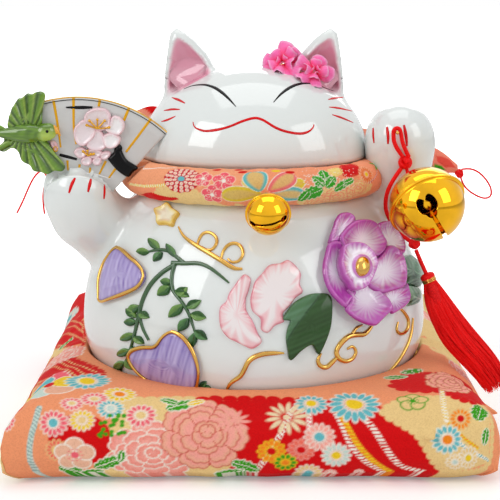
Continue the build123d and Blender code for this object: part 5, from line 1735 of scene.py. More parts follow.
def feathers(target, outline, middle, root, first, last, count, low, seed, thick=3.0):
    """Wing or tail: feathers that spread from a root, each a ridge with a groove beside it, painted darker in
    the groove as shade and lighter on one flank as a highlight.
    """
    def part_of(facts):
        heading = np.degrees(np.arctan2(facts["y"] - root[1], facts["x"] - root[0])) % 360
        return (heading - first) / (last - first) * count

    def top(facts):
        place = part_of(facts)
        inside = place - np.floor(place)
        ridge = 1.7 * np.sin(pi * np.clip(inside, 0, 1)) ** 0.7
        reach = length(facts["x"] - root[0], facts["y"] - root[1])
        return low + ridge * fade(reach, 3, 16) + 0.04 * reach

    def colour(facts):
        place = part_of(facts)
        inside = place - np.floor(place)
        # painted shade: darker in the groove between feathers, where the ridge is low
        tint = shade(np.sin(pi * inside) ** 1.5, bird_dark_and_groove_shade, bird_mid)
        # painted highlight: a lighter band on one flank of each ridge
        tint = shade(fade(inside, 0.55, 0.75) * fade(1 - inside, 0.1, 0.3) * 0.8, tint, bird_pale_and_highlight)
        return shade(0.35 * streaks(facts["x"] * 0.8 + facts["y"], seed, 1.6), tint, bird_dark_and_groove_shade)

    web(target, outline, middle, fan_field, top, colour, floor=-thick, edge=1.6, rings=22, segments=110)


bird_mesh = bmesh.new()
feathers(bird_mesh, [(42.5, 125), (43.7, 108.5), (46.4, 95.1), (42.9, 91), (36.7, 91.7), (33.1, 93.6),
                     (28.3, 92.9), (22.8, 97.3),
                     (18.9, 98.2), (14.7, 104.6), (12.2, 108.5), (10.6, 114.1), (9.4, 117), (8.5, 127),
                     (14, 135), (30, 138), (40, 134)],
         (27, 117), (30, 138), 222, 296, 5, 2.6, 51)
feathers(bird_mesh, [(10.5, 143), (18.9, 151.1), (22.2, 159.8), (30.9, 165.2), (34.5, 170.1), (42.3, 171.8),
                     (49, 173.4), (55.7, 170.1),
                     (62.6, 170.6), (66, 167), (63.5, 160.9), (56.8, 153.1), (50.1, 144.2), (45.6, 138),
                     (36, 133), (20, 133)],
         (36, 151), (24, 126), 45, 120, 6, 2.6, 52)
feathers(bird_mesh, [(-1, 124.1), (5.5, 126.9), (11, 130.8), (17.7, 135.3), (15.5, 146.4), (11, 148.1),
                     (6, 151.1), (1, 150.7),
                     (-1.5, 146.4), (4, 141.5), (4, 135.8), (-1.5, 130.8)], (9, 139), (26,
                         137), 150, 215, 3, 2.6, 53)


def turned(target, stations, colour_of, around=28):
    """Add a round closed form through rows of a middle and two radii, across and up, along X."""
    turn = np.linspace(0, 2 * pi, around)
    rows = []
    for (x, y, z), deep, high in stations:
        rows.append(np.stack([np.full(around, x), y + deep * np.cos(turn), z + high * np.sin(turn)], 1))
    points = np.stack(rows)
    sheet_mesh(target, points, colour_of(points))


def trunk_colour(points):
    marks = streaks(points[..., 0] * 0.5 + points[..., 2] * 2.4, 54, 1.0)
    tint = shade(marks.ravel(), bird_mid, bird_dark_and_groove_shade).reshape(points.shape)
    pale = fade(points[..., 0], -161, -157)[..., None] * fade(-points[..., 2], -236, -230)[..., None]
    return tint * (1 - pale) + np.array(bird_pale_and_highlight) * pale


trunk_rows = [(-192, 0.2, 0.2), (-190, 2.6, 2.8), (-184, 3.8, 4.4), (-176, 5.6, 6.4), (-168, 6.6, 7.6),
              (-163.5, 6.2, 7.0),
              (-160.5, 5.6, 6.0), (-157, 6.4, 6.9), (-152, 6.1, 6.5), (-148.6, 4.2, 4.5), (-147.2, 1.6, 1.8),
              (-146.8, 0.1, 0.1)]
trunk_x = np.linspace(-192, -146.8, 44)
trunk_table = np.array(trunk_rows)
trunk = [((x, fan_front - 4.6, 230.5 + 1.6 * fade(x, -165, -150)),
          np.interp(x, trunk_table[:, 0], trunk_table[:, 1]),
          np.interp(x, trunk_table[:, 0], trunk_table[:, 2])) for x in trunk_x]
turned(bird_mesh, trunk, trunk_colour)
piece("bird", welded(bird_mesh), glaze("bird_glaze", roughness=0.08, ripple=0.06), "cat", "bird")

beak = bmesh.new()
beak_rows = [((x, fan_front - 5.0, z), 0.75 * r, r) for x, z, r in (
    (-150.8, 233.2, 0.1), (-150.7, 233.2, 3.8), (-148.6, 233.4, 3.6), (-146.4, 232.6, 2.7),
    (-145.0, 230.9, 1.6), (-144.2, 229.2, 0.7), (-144.0, 228.8, 0.05))]
turned(beak, beak_rows, lambda points: np.broadcast_to(rgb(240, 168, 34), points.shape), 20)
piece("bird_beak", welded(beak), petal_enamel, "cat", "bird_beak")
bird_eye = bmesh.new()
ball(bird_eye, (-153.4, fan_front - 10.4, 232.6), 1.2, (1, 0.7, 1))
piece("bird_eye", bird_eye, black_enamel, "cat")


# ---------------------------------------------------------------- bells
def stand_of(origin, x_dir, z_dir):
    """Matrix from a piece's own frame to its place, in millimetres."""
    up = Vector(z_dir).normalized()
    side = Vector(x_dir)
    side = (side - up * side.dot(up)).normalized()
    frame_matrix = Matrix((side, up.cross(side), up)).transposed().to_4x4()
    frame_matrix.translation = Vector(origin)
    return frame_matrix


def spun(profile, around=128):
    """Closed turned form: a profile of radius and height, in its own frame, in millimetres."""
    shape = bmesh.new()
    profile = np.asarray(profile, float)
    turn = np.linspace(0, 2 * pi, around + 1)
    points = np.stack([profile[:, :1] * np.cos(turn), profile[:, :1] * np.sin(turn),
                       np.repeat(profile[:, 1:], len(turn), 1)], -1)
    sheet_mesh(shape, points, np.ones(points.shape))
    return closed_out(welded(shape, gap=1e-6))


def half_bell(radius, sheet, flange, lip, sign):
    """Profile of one half of a pressed bell, from its pole out to the flange and back inside."""
    rise = np.linspace(pi / 2, asin(lip / radius), 40)
    outer = [(radius * cos(a), radius * sin(a)) for a in rise]
    rolled = [(radius + flange * 0.35, lip * 1.02), (radius + flange * 0.8, lip),
              (radius + flange, lip * 0.62), (radius + flange, 0.05), (radius - sheet, 0.05)]
    inner = [((radius - sheet) * cos(a), (radius - sheet) * sin(a)) for a in np.linspace(0.03, pi / 2, 30)]
    return [(r, sign * z) for r, z in outer + rolled + inner + [outer[0]]]


def carved(shape, cutters):
    """Take cutters, given in the same frame, out of a shape."""
    mesh = mesh_of("carved", shape)
    for cutter in cutters:
        tool = linked("tool", mesh_of("tool", cutter))
        mesh = settled(mesh, [("BOOLEAN", {"operation": "DIFFERENCE", "solver": "EXACT", "object": tool})])
        bpy.data.objects.remove(tool)
    return mesh


def put(mesh, matrix):
    """Mesh moved from its own frame to its place."""
    move = matrix.copy()
    move.translation = move.translation * MM
    mesh.transform(move)
    return mesh


def round_cutter(x, y, radius, low, high):
    cutter = bmesh.new()
    bmesh.ops.create_cone(cutter, cap_ends=True, segments=40, radius1=radius * MM, radius2=radius * MM,
                          depth=(high - low) * MM,
                          matrix=Matrix.Translation(Vector((x, y, (low + high) / 2)) * MM))
    return cutter


def slot_cutter(x, y, span, width, low, high):
    cutter = bmesh.new()
    size = Matrix.Diagonal((span * MM, width * MM, (high - low) * MM, 1))
    bmesh.ops.create_cube(cutter, size=1.0,
                          matrix=Matrix.Translation(Vector((x, y, (low + high) / 2)) * MM) @ size)
    return cutter


small_middle = Vector((9.6, -125.5, 182))
small_place = stand_of(small_middle, (0.97, 0, 0.2), (0, 0.926, 0.37))
big_middle = Vector((126, -83.5, 182))
big_place = stand_of(big_middle, (0.76, 0, -0.65), (-0.09, 0.946, 0.315))
big_shell_place = stand_of(big_middle, (0.41, 0.65, -0.64), (-0.31, 0.757, 0.577))
small_radius, big_radius, bell_sheet = 15, 27.5, 1.2
small_bell = (small_radius, bell_sheet, 1.1, 0.7)
big_bell = (big_radius, bell_sheet, 2.0, 1.0)
dark_inside = gilding("bell_inside", rgb(96, 66, 22), 0.5, 0.1)


small_openings = [
    slot_cutter(0, 0, 21, 2.0, -17, -3), round_cutter(-11, 0, 2.1, -17, -2),
    round_cutter(11, 0, 2.1, -17, -2),
]
heart_and_slot = [
    round_cutter(-20.8, -3.3, 4.1, -30, -8), round_cutter(-20.8, 3.3, 4.1, -30, -8),
    round_cutter(-17.4, 0, 4.2, -30, -8),
    slot_cutter(0.5, 0, 36, 3.0, -30, -8), round_cutter(20.5, 0, 3.9, -30, -8),
]
for body, form, place, openings in (
    ("collar_bell", small_bell, small_place, small_openings),
    ("big_bell", big_bell, big_shell_place, heart_and_slot),
):
    for half, sign, cutters in (("upper", 1, []), ("lower", -1, openings)):
        name = body + "_" + half
        piece(name, put(carved(spun(half_bell(*form, sign)), cutters), place), bell_metal, body, name)


def ringed(name, radius, wire, height, place, body):
    """Wire eye on top of a bell."""
    ring = [place @ Vector((0, radius * cos(a), height + radius * sin(a)))
            for a in np.linspace(0, 2 * pi, 49)]
    drawn(name, [(ring, wire / 2)], bell_metal, body, name)


ringed("collar_bell_eye", 2.6, 1.6, 16.8, small_place, "collar_bell")
ringed("big_bell_eye", 3.4, 2.0, 29.9, big_place, "big_bell")
for body, origin, radius in (("collar_bell", small_middle, small_radius),
                             ("big_bell", big_middle, big_radius)):
    pellet = bmesh.new()
    pellet_radius = 0.24 * radius
    ball(pellet, origin - Vector((0, 0, radius - bell_sheet - pellet_radius - 0.3)), pellet_radius)
    piece(body + "_pellet", pellet, dark_inside, body, body + "_pellet")

# ---------------------------------------------------------------- cords and knots
cord_red = thread("cord_red", rgb(250, 7, 11), 0.0, 1300.0, 0.8)
stitch_at = np.array((9.6, -109.899, 188.234))
stitch_line = stitch_at + np.array([(-4.5, 8, 0), (-4.5, 4, 0), (-4.3, 0.6, 0), (-3.4, 0, 0), (3.4, 0, 0),
                                    (4.3, 0.6, 0), (4.5, 4, 0), (4.5, 8, 0)])
drawn("collar_bell_stitch", [(stitch_line, 0.6)], cord_red, "cat", "collar_bell_stitch")


def corded(name, route, diameter, body, far_end="knot", declared=True, **more):
    """Cord along a smooth line whose control points are a route in metres."""
    data = round_lines(name, [(route, [1.0] * len(route))], diameter / 2, 3, 4, 10)
    data.materials.append(cord_red)
    made = stand_for(linked(name, data), body, name)


loop_route = [
    (0.111, -0.0550, 0.2135), (0.1042, -0.0575, 0.222), (0.1031, -0.0575, 0.2316), (0.1043, -0.0575, 0.235),
    (0.1077, -0.0575, 0.235), (0.1089, -0.0575, 0.2316), (0.1106, -0.0575, 0.222), (0.1155, -0.0550, 0.2135),
]
side_route = [
    (0.1100, -0.0540, 0.2045), (0.1035, -0.056, 0.196), (0.0990, -0.053, 0.184), (0.0995, -0.049, 0.171),
    (0.106, -0.0475, 0.160), (0.113, -0.0505, 0.1525), (0.1185, -0.055, 0.1492),
]
big_pivot = big_place @ Vector((0, 0, 27.5 + 3.4 - 1.0))
eye_route = [
    (0.1145, -0.0525, 0.2043), (0.1152, -0.0538, 0.1985), (0.1166, -0.0548, 0.1936),
    (0.1205, big_pivot.y * MM, big_pivot.z * MM), (0.1305, big_pivot.y * MM, big_pivot.z * MM + 0.0003),
]
tassel_route = [(0.122, -0.0582, 0.1435), (0.1255, -0.060, 0.135), (0.130, -0.0616, 0.1255)]


def knotted(name, centre, radius, body, nodes, seed):
    """Tied knot: turns of one cord wound in three directions about a middle."""
    turns = []
    tilt = np.random.default_rng(seed)
    angle = np.linspace(0, 2 * pi, 17)
    for number in range(4):
        axis = Vector(tilt.uniform(-1, 1, 3)).normalized()
        spin = axis.to_track_quat("Z", "Y").to_matrix()
        wound = [(0.62 * radius * cos(a), 0.62 * radius * sin(a), 0.18 * radius * sin(2 * a)) for a in angle]
        turns.append(([spin @ Vector(point) + Vector(centre) for point in wound], 0.36 * radius))
    return drawn(name, turns, cord_red, body, *nodes)


upper_knot = knotted("cord_knot", (113, -53.5, 209), 5.5, "bell_cord", ["cord_knot"], 3)
lower_knot = knotted("cord_knot_lower", (121, -57, 148), 4.8, "bell_cord", ["cord_knot_lower"], 9)
thick_cord, thin_cord, tie_cord = 0.0032, 0.00256, 0.0016
corded("bell_cord_loop", loop_route, thick_cord, "bell_cord", length=0.0495, with_pieces=[upper_knot])
corded("bell_cord_side", side_route, thick_cord, "bell_cord", length=0.068, with_pieces=[lower_knot])
corded("bell_cord_eye", eye_route, thin_cord, "bell_cord", declared=False)
corded("tassel_cord", tassel_route, thick_cord, "tassel", declared=False)
pin = bmesh.new()
bmesh.ops.create_cone(pin, cap_ends=True, segments=20, radius1=0.00075, radius2=0.00075, depth=0.012,
                      matrix=Matrix.Translation(Vector((106, -54.5, 232)) * MM) @ Matrix.Rotation(pi / 2, 4,
                          "X"))
ball(pin, (106, -60.5, 232), 1.3)
piece("bell_pin", pin, lustre, "cat", "bell_pin")

# ---------------------------------------------------------------- silk tassel
skirt_rows = np.array([  # middle and radius
    (132.5, -62.5, 118.5, 5.2), (137, -64, 108, 8.6), (145, -66, 92, 10.8), (156, -68, 76, 12.2),
    (170, -70, 62, 12.0), (181, -72, 48, 10.6), (185.5, -73, 38, 9.0),
])
cap_axis = Vector((0.45, -0.12, -1)).normalized()
cap_place = stand_of((130, -61.6, 125.5), (1, 0, 0), cap_axis)
cap_profile = [(0, -0.6), (3.6, -0.4), (5.2, 0.6), (5.7, 2.2), (5.2, 3.8), (5.0, 6.2), (4.6, 6.4), (0, 6.4)]
piece("tassel_cap", put(mesh_of("whole", spun(cap_profile, 48)), cap_place), cord_red, "tassel", "tassel_cap")
wraps = []
for height in (3.9, 4.9, 5.9):
    wrap = [cap_place @ Vector((5.2 * cos(a), 5.2 * sin(a), height)) for a in np.linspace(0, 2 * pi, 25)]
    wraps.append((wrap, 0.45))
drawn("tassel_gold_wrap", wraps, lustre, "tassel")


def skirt_at(share):
    """Middle and radius of the skirt at a share of its length."""
    return np.array([np.interp(share * 6, range(7), skirt_rows[:, column]) for column in range(4)])


silk = np.random.default_rng(17)
strands = []
for number in range(330):
    turn = silk.uniform(0, 2 * pi)
    out = sqrt(silk.uniform(0.35, 1.0))
    wander = silk.uniform(-0.25, 0.25)
    end = silk.uniform(0.86, 1.0)
    points = []
    for step in np.linspace(0, end, 8):
        row = skirt_at(step)
        angle = turn + wander * step + 0.10 * sin(9 * step + number)
        reach = row[3] * out * (1 + 0.05 * sin(7 * step + 2 * number))
        points.append(row[:3] + reach * np.array((cos(angle), sin(angle) * 0.72, cos(angle) * 0.34)))
    points[0] = cap_place @ Vector((4.2 * out * cos(turn), 4.2 * out * sin(turn), 5.6))
    strands.append((points, (0.62, 0.66, 0.6, 0.58, 0.55, 0.5, 0.42, 0.22)))
drawn("tassel_skirt", strands, red_silk, "tassel", "tassel_skirt", sides=0, steps=3)
core = np.array([skirt_at(share) for share in np.linspace(0, 1, 26)[:-2]])
core_radii = 0.72 * core[:, 3] * np.interp(np.linspace(0, 1, len(core)), (0, 0.9, 1), (1, 0.8, 0.3))
core_silk = thread("core_silk", rgb(236, 5, 9), 0.0)
drawn("tassel_core", [(core[:, :3], core_radii)], core_silk, "tassel", sides=2, steps=2)

# ---------------------------------------------------------------- padded collar
collar_middle = 92.0
collar_tube = 14.0
collar_rise = 195.5
branch_corners = [(-106, 220), (-110, 212), (-97, 197.5), (-87, 206), (-96, 216), (-98, 223), (-102, 216)]
theta = np.concatenate([np.linspace(-pi, -1.78, 56)[:-1], np.linspace(-1.78, 1.78, 641),
                        np.linspace(1.78, pi, 56)[1:]])
phi = np.concatenate([np.linspace(-pi, -1.9, 11)[:-1], np.linspace(-1.9, 1.9, 93),
                      np.linspace(1.9, pi, 11)[1:]])
turn_grid, tube_grid = np.meshgrid(theta, phi)
gather = 0.25 * np.sin(19 * turn_grid + 1.3 * np.sin(tube_grid * 2)) + 0.18 * np.sin(43 * turn_grid
    + 2 * np.cos(tube_grid * 3))
gather += 0.5 * np.sin(3 * turn_grid + 1) * np.sin(tube_grid + 0.6)
reach = collar_tube - 0.6 + gather
around = collar_middle + reach * np.cos(tube_grid)
roll = np.stack([around * np.sin(turn_grid), -around * np.cos(turn_grid),
                 collar_rise + reach * np.sin(tube_grid)], -1)
keep_off = 0.35


def forms(p):
    return np.minimum(body_field(p), head_field(p))


for turn_number in range(16):
    flat = roll.reshape(-1, 3)
    way, gap = slope(forms, flat)
    push = np.clip(keep_off - gap, 0, 6)[:, None] * way
    roll = (flat + push).reshape(roll.shape)
    if turn_number < 12:
        moved = roll.copy()
        moved[1:-1] = 0.5 * roll[1:-1] + 0.25 * (roll[:-2] + roll[2:])
        moved[:, 1:-1] = 0.5 * moved[:, 1:-1] + 0.25 * (moved[:, :-2] + moved[:, 2:])
        ends = (moved[:, 0] + moved[:, -1]) / 2
        moved[:, 0], moved[:, -1] = ends, ends
        pressed = np.linalg.norm(push, axis=1).reshape(roll.shape[:2])
        share = np.clip(pressed, 0, 1)[..., None] * 0.6
        roll = roll * (1 - share) + moved * share
lean_of = np.arctan2(roll[..., 0] - fan_hub[0], roll[..., 2] - fan_hub[1])
behind_fan = (lean_of > radians(fan_lean[0] - 4)) & (lean_of < radians(fan_lean[1] + 4))
behind_fan &= length(roll[..., 0] - fan_hub[0], roll[..., 2] - fan_hub[1]) < fan_radius + 3
roll[..., 1] = np.where(behind_fan, np.maximum(roll[..., 1], -41.5), roll[..., 1])
near_branch = outside(roll[..., 0], roll[..., 2], branch_corners) < 1.5
roll[..., 1] = np.where(near_branch, np.maximum(roll[..., 1], -45.8), roll[..., 1])

band = Print(roll, turn_grid * collar_middle, tube_grid * collar_tube, rgb(250, 158, 116), 0.45, 0.5)


half_way = pi * collar_middle
# painted light: a slightly lighter peach over the top half of the collar's front and left side, which faces
# the left lamp
band.zone([(-60, 3), (-150, 4), (-170, 44), (-20, 44), (0, 8)], rgb(250, 168, 124), 3)
band.zone(band.spots((158, 190), (172, 189), (190, 190), (204, 197), (222, 205), (240, 209), (238, 204))
          + [(-20, -24), (-74, -24)], ink_cream, 2)
band.zone(band.spots((143, 195), (150, 193.5), (160, 196), (170, 198), (177, 199)) + [(-72, -16), (-92, -14)],
          ink_red, 1.2)
band.zone(band.spots((300, 199), (312, 196), (330, 189), (349, 184), (366, 180), (369, 190), (350, 197),
                     (326, 203), (304, 207)), ink_cream, 2)
band.zone(band.spots((341, 165.5), (350, 164), (358, 167), (358, 174), (347, 176.5), (341, 172)), ink_red,
          0.8)
band.zone(band.spots((328, 170), (338, 168), (342, 173), (333, 176)), rgb(246, 218, 130), 0.8)
band.peony(band.spot(336, 197), 14, 8, ink_cream, ink_coral, rgb(240, 176, 140), 8)
band.peony(band.spot(358, 189), 11, 8, ink_cream, ink_coral, rgb(240, 176, 140), 9)
band.peony(band.spot(318, 202), 10, 7, ink_cream, ink_coral, rgb(240, 176, 140), 10)
band.rope(band.spots((132, 170), (145, 168.5), (160, 168), (176, 168)), 1.1, ink_white, rgb(250, 200, 180),
          1.2)
band.rope(band.spots((130, 184), (145, 186.5), (160, 185.5), (170, 183.5)), 2.2, ink_yellow, ink_white, 1.8)
part, x, y = band.window(band.spot(181, 179), 18)
y = y * 1.25
r = length(x, y)
band.ink(part, r - 13.5 * (1 + 0.03 * np.cos(12 * np.arctan2(y, x))), rgb(206, 20, 34))
for ring, count, half in ((4.9, 9, 1.55), (8.4, 13, 1.7), (11.7, 17, 1.5)):
    away = lobes(x, y, count, ring, half, pi * ring / count * 0.66)
    band.ink(part, away, ink_white)
    band.ink(part, away + 0.55, rgb(252, 178, 140))
band.ink(part, r - 2.6, ink_teal)
for across, down, radius in ((203, 178.5, 6.2), (223.5, 181, 7.6), (212, 195, 7.4)):
    place = band.spot(across, down)
    band.plum(place, radius, rgb(246, 96, 112), rgb(255, 226, 196), ink_white)
    spots_in = np.random.default_rng(int(radius * 10))
    for number in range(26):
        heading, out = spots_in.uniform(0, 2 * pi), radius * 0.85 * sqrt(spots_in.uniform())
        part, x, y = band.window(place + out * np.array((cos(heading), sin(heading))), 2)
        band.ink(part, length(x, y) - 0.26, ink_white)


def petal_print(across, down, tip_across, tip_down, width, fill, inner):
    """Large outlined petal with a light outline and a lighter inside."""
    foot, tip = band.spot(across, down), band.spot(tip_across, tip_down)
    axis = tip - foot
    span = hypot(*axis)
    axis /= span
    part, x, y = band.window((foot + tip) / 2, span * 0.7 + width)
    along = (x * axis[0] + y * axis[1]) / (span / 2)
    over = -x * axis[1] + y * axis[0]
    swell = width / 2 * np.sqrt(np.clip(1 - along**2, 0, 1)) * (1 + 0.35 * along)
    away = np.where(np.abs(along) < 1, np.abs(over) - swell, 4.0)
    band.ink(part, away - 0.5, ink_white)
    band.ink(part, away, fill)
    band.lay(part, fade(-away, 1.6, 3.4), inner)


petal_print(256, 189, 244, 178, 7, rgb(232, 204, 60), rgb(232, 190, 90))
petal_print(278, 189, 305, 182, 8, rgb(232, 204, 60), rgb(232, 190, 90))
petal_print(262, 194, 222, 195.5, 12, rgb(226, 200, 60), rgb(222, 192, 110))
petal_print(270, 194, 304, 195, 11, rgb(104, 192, 194), rgb(226, 196, 130))
petal_print(260, 191, 253, 172, 15, rgb(104, 192, 194), rgb(228, 190, 120))
petal_print(268, 191, 294, 174, 12, rgb(240, 118, 122), rgb(232, 186, 120))
for across, down, span, width, heading in (
    (312, 193.5, 16, 10.5, 20), (304, 196.5, 11, 7, 60), (325, 177, 14, 9, 90), (319.5, 181, 11, 7.5, 135),
    (330.5, 182, 11, 7.5, 45), (342, 185.5, 14, 6.6, 30), (349.5, 181.5, 10, 5, 15),
):
    band.leaf(band.spot(across, down), span, width, heading, rgb(58, 164, 36), ink_white)
band.mum(band.spot(366.5, 174), 7.4, rgb(238, 120, 60), rgb(250, 210, 170), ink_yellow, 16, 0.3)
band.rope(band.spots((370, 163), (374.5, 164.5), (376.5, 170)), 2.0, rgb(92, 186, 50), rgb(62, 150, 34))
band.rope(band.spots((377, 170), (376, 176), (369, 183)), 1.4, ink_red, ink_white)
for across, down in ((239, 170), (243, 172), (276, 171), (290, 172), (217, 170)):
    part, x, y = band.window(band.spot(across, down), 5)
    band.ink(part, length(x / 1.8, y) - 1.8, ink_yellow if across == 276 else ink_red)
fluff = np.random.default_rng(22)
for number in range(240):
    across, down = fluff.uniform(302, 362), fluff.uniform(168, 190)
    if number % 2:
        part, x, y = band.window(band.spot(across, down), 2)
        band.ink(part, length(x / 1.6, y) - 0.2, ink_white)
placed = []
while len(placed) < 26:
    place = np.array((fluff.uniform(98, 2 * half_way - 106), fluff.uniform(-22, 22)))
    place[0] = (place[0] + half_way) % (2 * half_way) - half_way
    if any(hypot(*(place - other)) < 15 for other in placed):
        continue
    scattered(band, place, len(placed), fluff, (12, 10), (13, 6), (5, 8.5))
    placed.append(place)
collar_cloth = bmesh.new()
sheet_mesh(collar_cloth, roll, band.colour)
piece("collar_roll", welded(collar_cloth), printed_crepe, "cat", "collar")

# ---------------------------------------------------------------- bow, its knot and its ties
def swept_rows(rows, ridges, seed, side=1.0, count=90, around=72):
    """Gathered padded form through rows of a middle, half thickness and half height, closed at its ends."""
    rows = np.array([(*middle, thick, high) for middle, thick, high in rows], float)
    stations = np.concatenate([[0.0], np.cumsum(length(*np.diff(rows[:, :3], axis=0).T))])
    stations /= stations[-1]
    step = np.linspace(0, 1, count)
    line = np.stack([np.interp(step, stations, rows[:, column]) for column in range(5)], 1)
    for turn_number in range(10):
        line[1:-1] = 0.5 * line[1:-1] + 0.25 * (line[:-2] + line[2:])
    marks = np.random.default_rng(seed)
    angle = np.linspace(0, 2 * pi, around + 1)
    phases = marks.uniform(0, 2 * pi, 4)
    step_grid, angle_grid = np.meshgrid(step, angle, indexing="ij")
    fold = sum(np.sin(number * angle_grid + phase + 2.4 * step_grid) / number**0.7 for number,
               phase in zip((5, 8, 13, 21), phases))
    gathered = (1 - fade(step_grid, 0, 0.45)) + 0.35 * (1 - fade(step_grid, 0, 0.9))
    swell = 1 - ridges * 0.5 + ridges * 0.22 * fold * gathered
    swell -= 0.05 * np.abs(np.sin(angle_grid * 1.5 + 6 * step_grid))
    thick, high = line[:, 3:4] * swell, line[:, 4:5] * swell
    lens = np.abs(np.cos(angle_grid)) ** 1.25 * np.sign(np.cos(angle_grid))
    points = np.stack([side * np.repeat(line[:, :1], around + 1, 1), line[:, 1:2] + thick * lens,
                       line[:, 2:3] + high * np.sin(angle_grid)], -1)
    points[0] = 0.55 * points[0] + 0.45 * points[0].mean(axis=0)
    middle_first, middle_last = points[0].mean(axis=0), points[-1].mean(axis=0)
    points = np.concatenate([np.broadcast_to(middle_first, points[:1].shape), points,
                             np.broadcast_to(middle_last, points[:1].shape)])
    return points


def padded_cloth(name, points, across, along, ground, scheme, node, clear=True):
    if clear:
        for turn_number in range(6):
            flat = points.reshape(-1, 3)
            way, gap = slope(forms, flat)
            points = (flat + np.clip(0.4 - gap, 0, 6)[:, None] * way).reshape(points.shape)
    cloth = Print(points, across, along, ground, 0.8)
    scheme(cloth)
    made = bmesh.new()
    sheet_mesh(made, points, cloth.colour)
    return piece(name, welded(made), printed_crepe, "cat", node)


def flowered(seed, area, number_of, red_share, shown=()):
    """Scheme of flowers scattered over a rectangle of the cloth, then marks at places of the front view."""
    def scheme(cloth):
        grow(cloth)
        for places, colour in shown:
            cloth.zone(cloth.spots(*places), colour)

    def grow(cloth):
        scatter = np.random.default_rng(seed)
        for number in range(number_of):
            place = scatter.uniform((area[0], area[1]), (area[2], area[3]))
            fill, heart = kinds[scatter.integers(len(kinds))]
            if scatter.uniform() < red_share:
                cloth.zone([place + 9 * np.array((cos(a), sin(a))) for a in np.linspace(0, 2 * pi, 7)[:-1]],
                           ink_red, 3)
            if number % 3 == 0:
                cloth.peony(place, 13, 11, rgb(240, 130, 112), ink_white, ink_coral, seed + number)
            elif number % 3 == 1:
                cloth.mum(place, scatter.uniform(6, 9), fill, ink_white, heart)
            else:
                cloth.leaf(place, 14, 6, scatter.uniform(0, 180), ink_green, ink_white)
    return scheme


def flat_grid(points, scale_along, scale_around):
    rows, columns = points.shape[:2]
    along, over = np.meshgrid(np.linspace(0, scale_around, columns), np.linspace(0, scale_along, rows))
    return along, over


left_rows = [((13.3, 112, 197), 5, 8), ((45, 106, 205), 7.5, 14), ((88, 98, 208), 8, 15),
             ((130, 90, 202), 7, 15), ((160, 83, 193), 5.5, 11.5), ((174, 80, 187), 2.6, 4)]
right_rows = [((13.3, 112, 197), 5, 8), ((45, 106, 212), 7.5, 19), ((88, 98, 219), 8, 25),
              ((130, 90, 207), 7, 18), ((160, 83, 193), 5.5, 12), ((174, 80, 187), 2.6, 4)]
red_corner = (((140, 105), (150, 106), (159, 106), (159, 118), (150, 114), (141, 109)), ink_red)
# painted highlight: a thin white streak along a fold of the left bow's wing
painted_fold_highlight = (((441, 149), (452, 154), (460, 163), (458, 165), (449, 156), (440, 151)), ink_white)
warm_tip = (((432, 147), (452, 150), (466, 166), (458, 174), (440, 174), (430, 160)), rgb(252, 140, 116))
# painted shade: a darker band in the same fold, below the highlight
painted_fold_shade = (((436, 156), (450, 160), (456, 168), (446, 168), (437, 162)), rgb(240, 84, 70))
green_bit = (((435, 164), (441, 166), (446, 170), (440, 171), (434, 168)), ink_green)
for name, rows, side, seed, shown in (
    ("bow_left", left_rows, 1.0, 31, (warm_tip, painted_fold_shade, painted_fold_highlight, green_bit)),
    ("bow_right", right_rows, -1.0, 47, (red_corner,)),
):
    wing = swept_rows(rows, 0.22, seed, side)
    padded_cloth(name + "_cloth", wing, *flat_grid(wing, 172, 96), rgb(238, 148, 122),
                 flowered(seed, (4, 4, 92, 168), 30, 0.45, shown), name)
knot_form = swept_rows([((-13, 115.3, 195.5), 6, 9), ((-6, 115.3, 195.5), 9, 13), ((6, 115.3, 195.5), 9, 13),
                        ((13, 115.3, 195.5), 6, 9)], 0.12, 5, 1.0, 40, 64)
padded_cloth("collar_knot_cloth", knot_form, *flat_grid(knot_form, 30, 70), rgb(236, 140, 112),
             flowered(71, (4, 4, 66, 28), 8, 0.5), "collar_knot", False)

for name, centre, radius in (("tie_knot_right", (175.5, 79.5, 183), 4.2),
                             ("tie_knot_left", (-175.5, 79.5, 183.5), 3.6)):
    knotted(name, centre, radius, "cat", (), 12)
tie_routes = {
    "tie_cord_right": (0.079, [
        (0.1775, 0.080, 0.1865), (0.184, 0.081, 0.1875), (0.192, 0.082, 0.1845), (0.199, 0.083, 0.178),
        (0.204, 0.0835, 0.170), (0.2045, 0.084, 0.163), (0.1995, 0.084, 0.1605), (0.192, 0.083, 0.163),
        (0.184, 0.082, 0.168), (0.1785, 0.081, 0.1745),
        (0.1765, 0.080, 0.1815)]),
    "tie_cord_left": (0.049, [
        (-0.1775, 0.080, 0.1865), (-0.183, 0.081, 0.185), (-0.189, 0.082, 0.178), (-0.194, 0.083, 0.168),
        (-0.199, 0.084, 0.157),
        (-0.204, 0.085, 0.148)]),
    "tie_cord_left_inner": (0.036, [
        (-0.176, 0.080, 0.1825), (-0.178, 0.0815, 0.176), (-0.1805, 0.0825, 0.167), (-0.181, 0.083, 0.157),
        (-0.180, 0.0835, 0.1475)]),
}
for name, (measured, route) in tie_routes.items():
    corded(name, route, tie_cord, "cat", far_end="object" if name == "tie_cord_right" else "bare",
           length=measured)

# ---------------------------------------------------------------- silk flowers in the hair
silk_low, silk_mid, silk_edge = rgb(255, 20, 100), rgb(255, 102, 178), rgb(255, 190, 226)


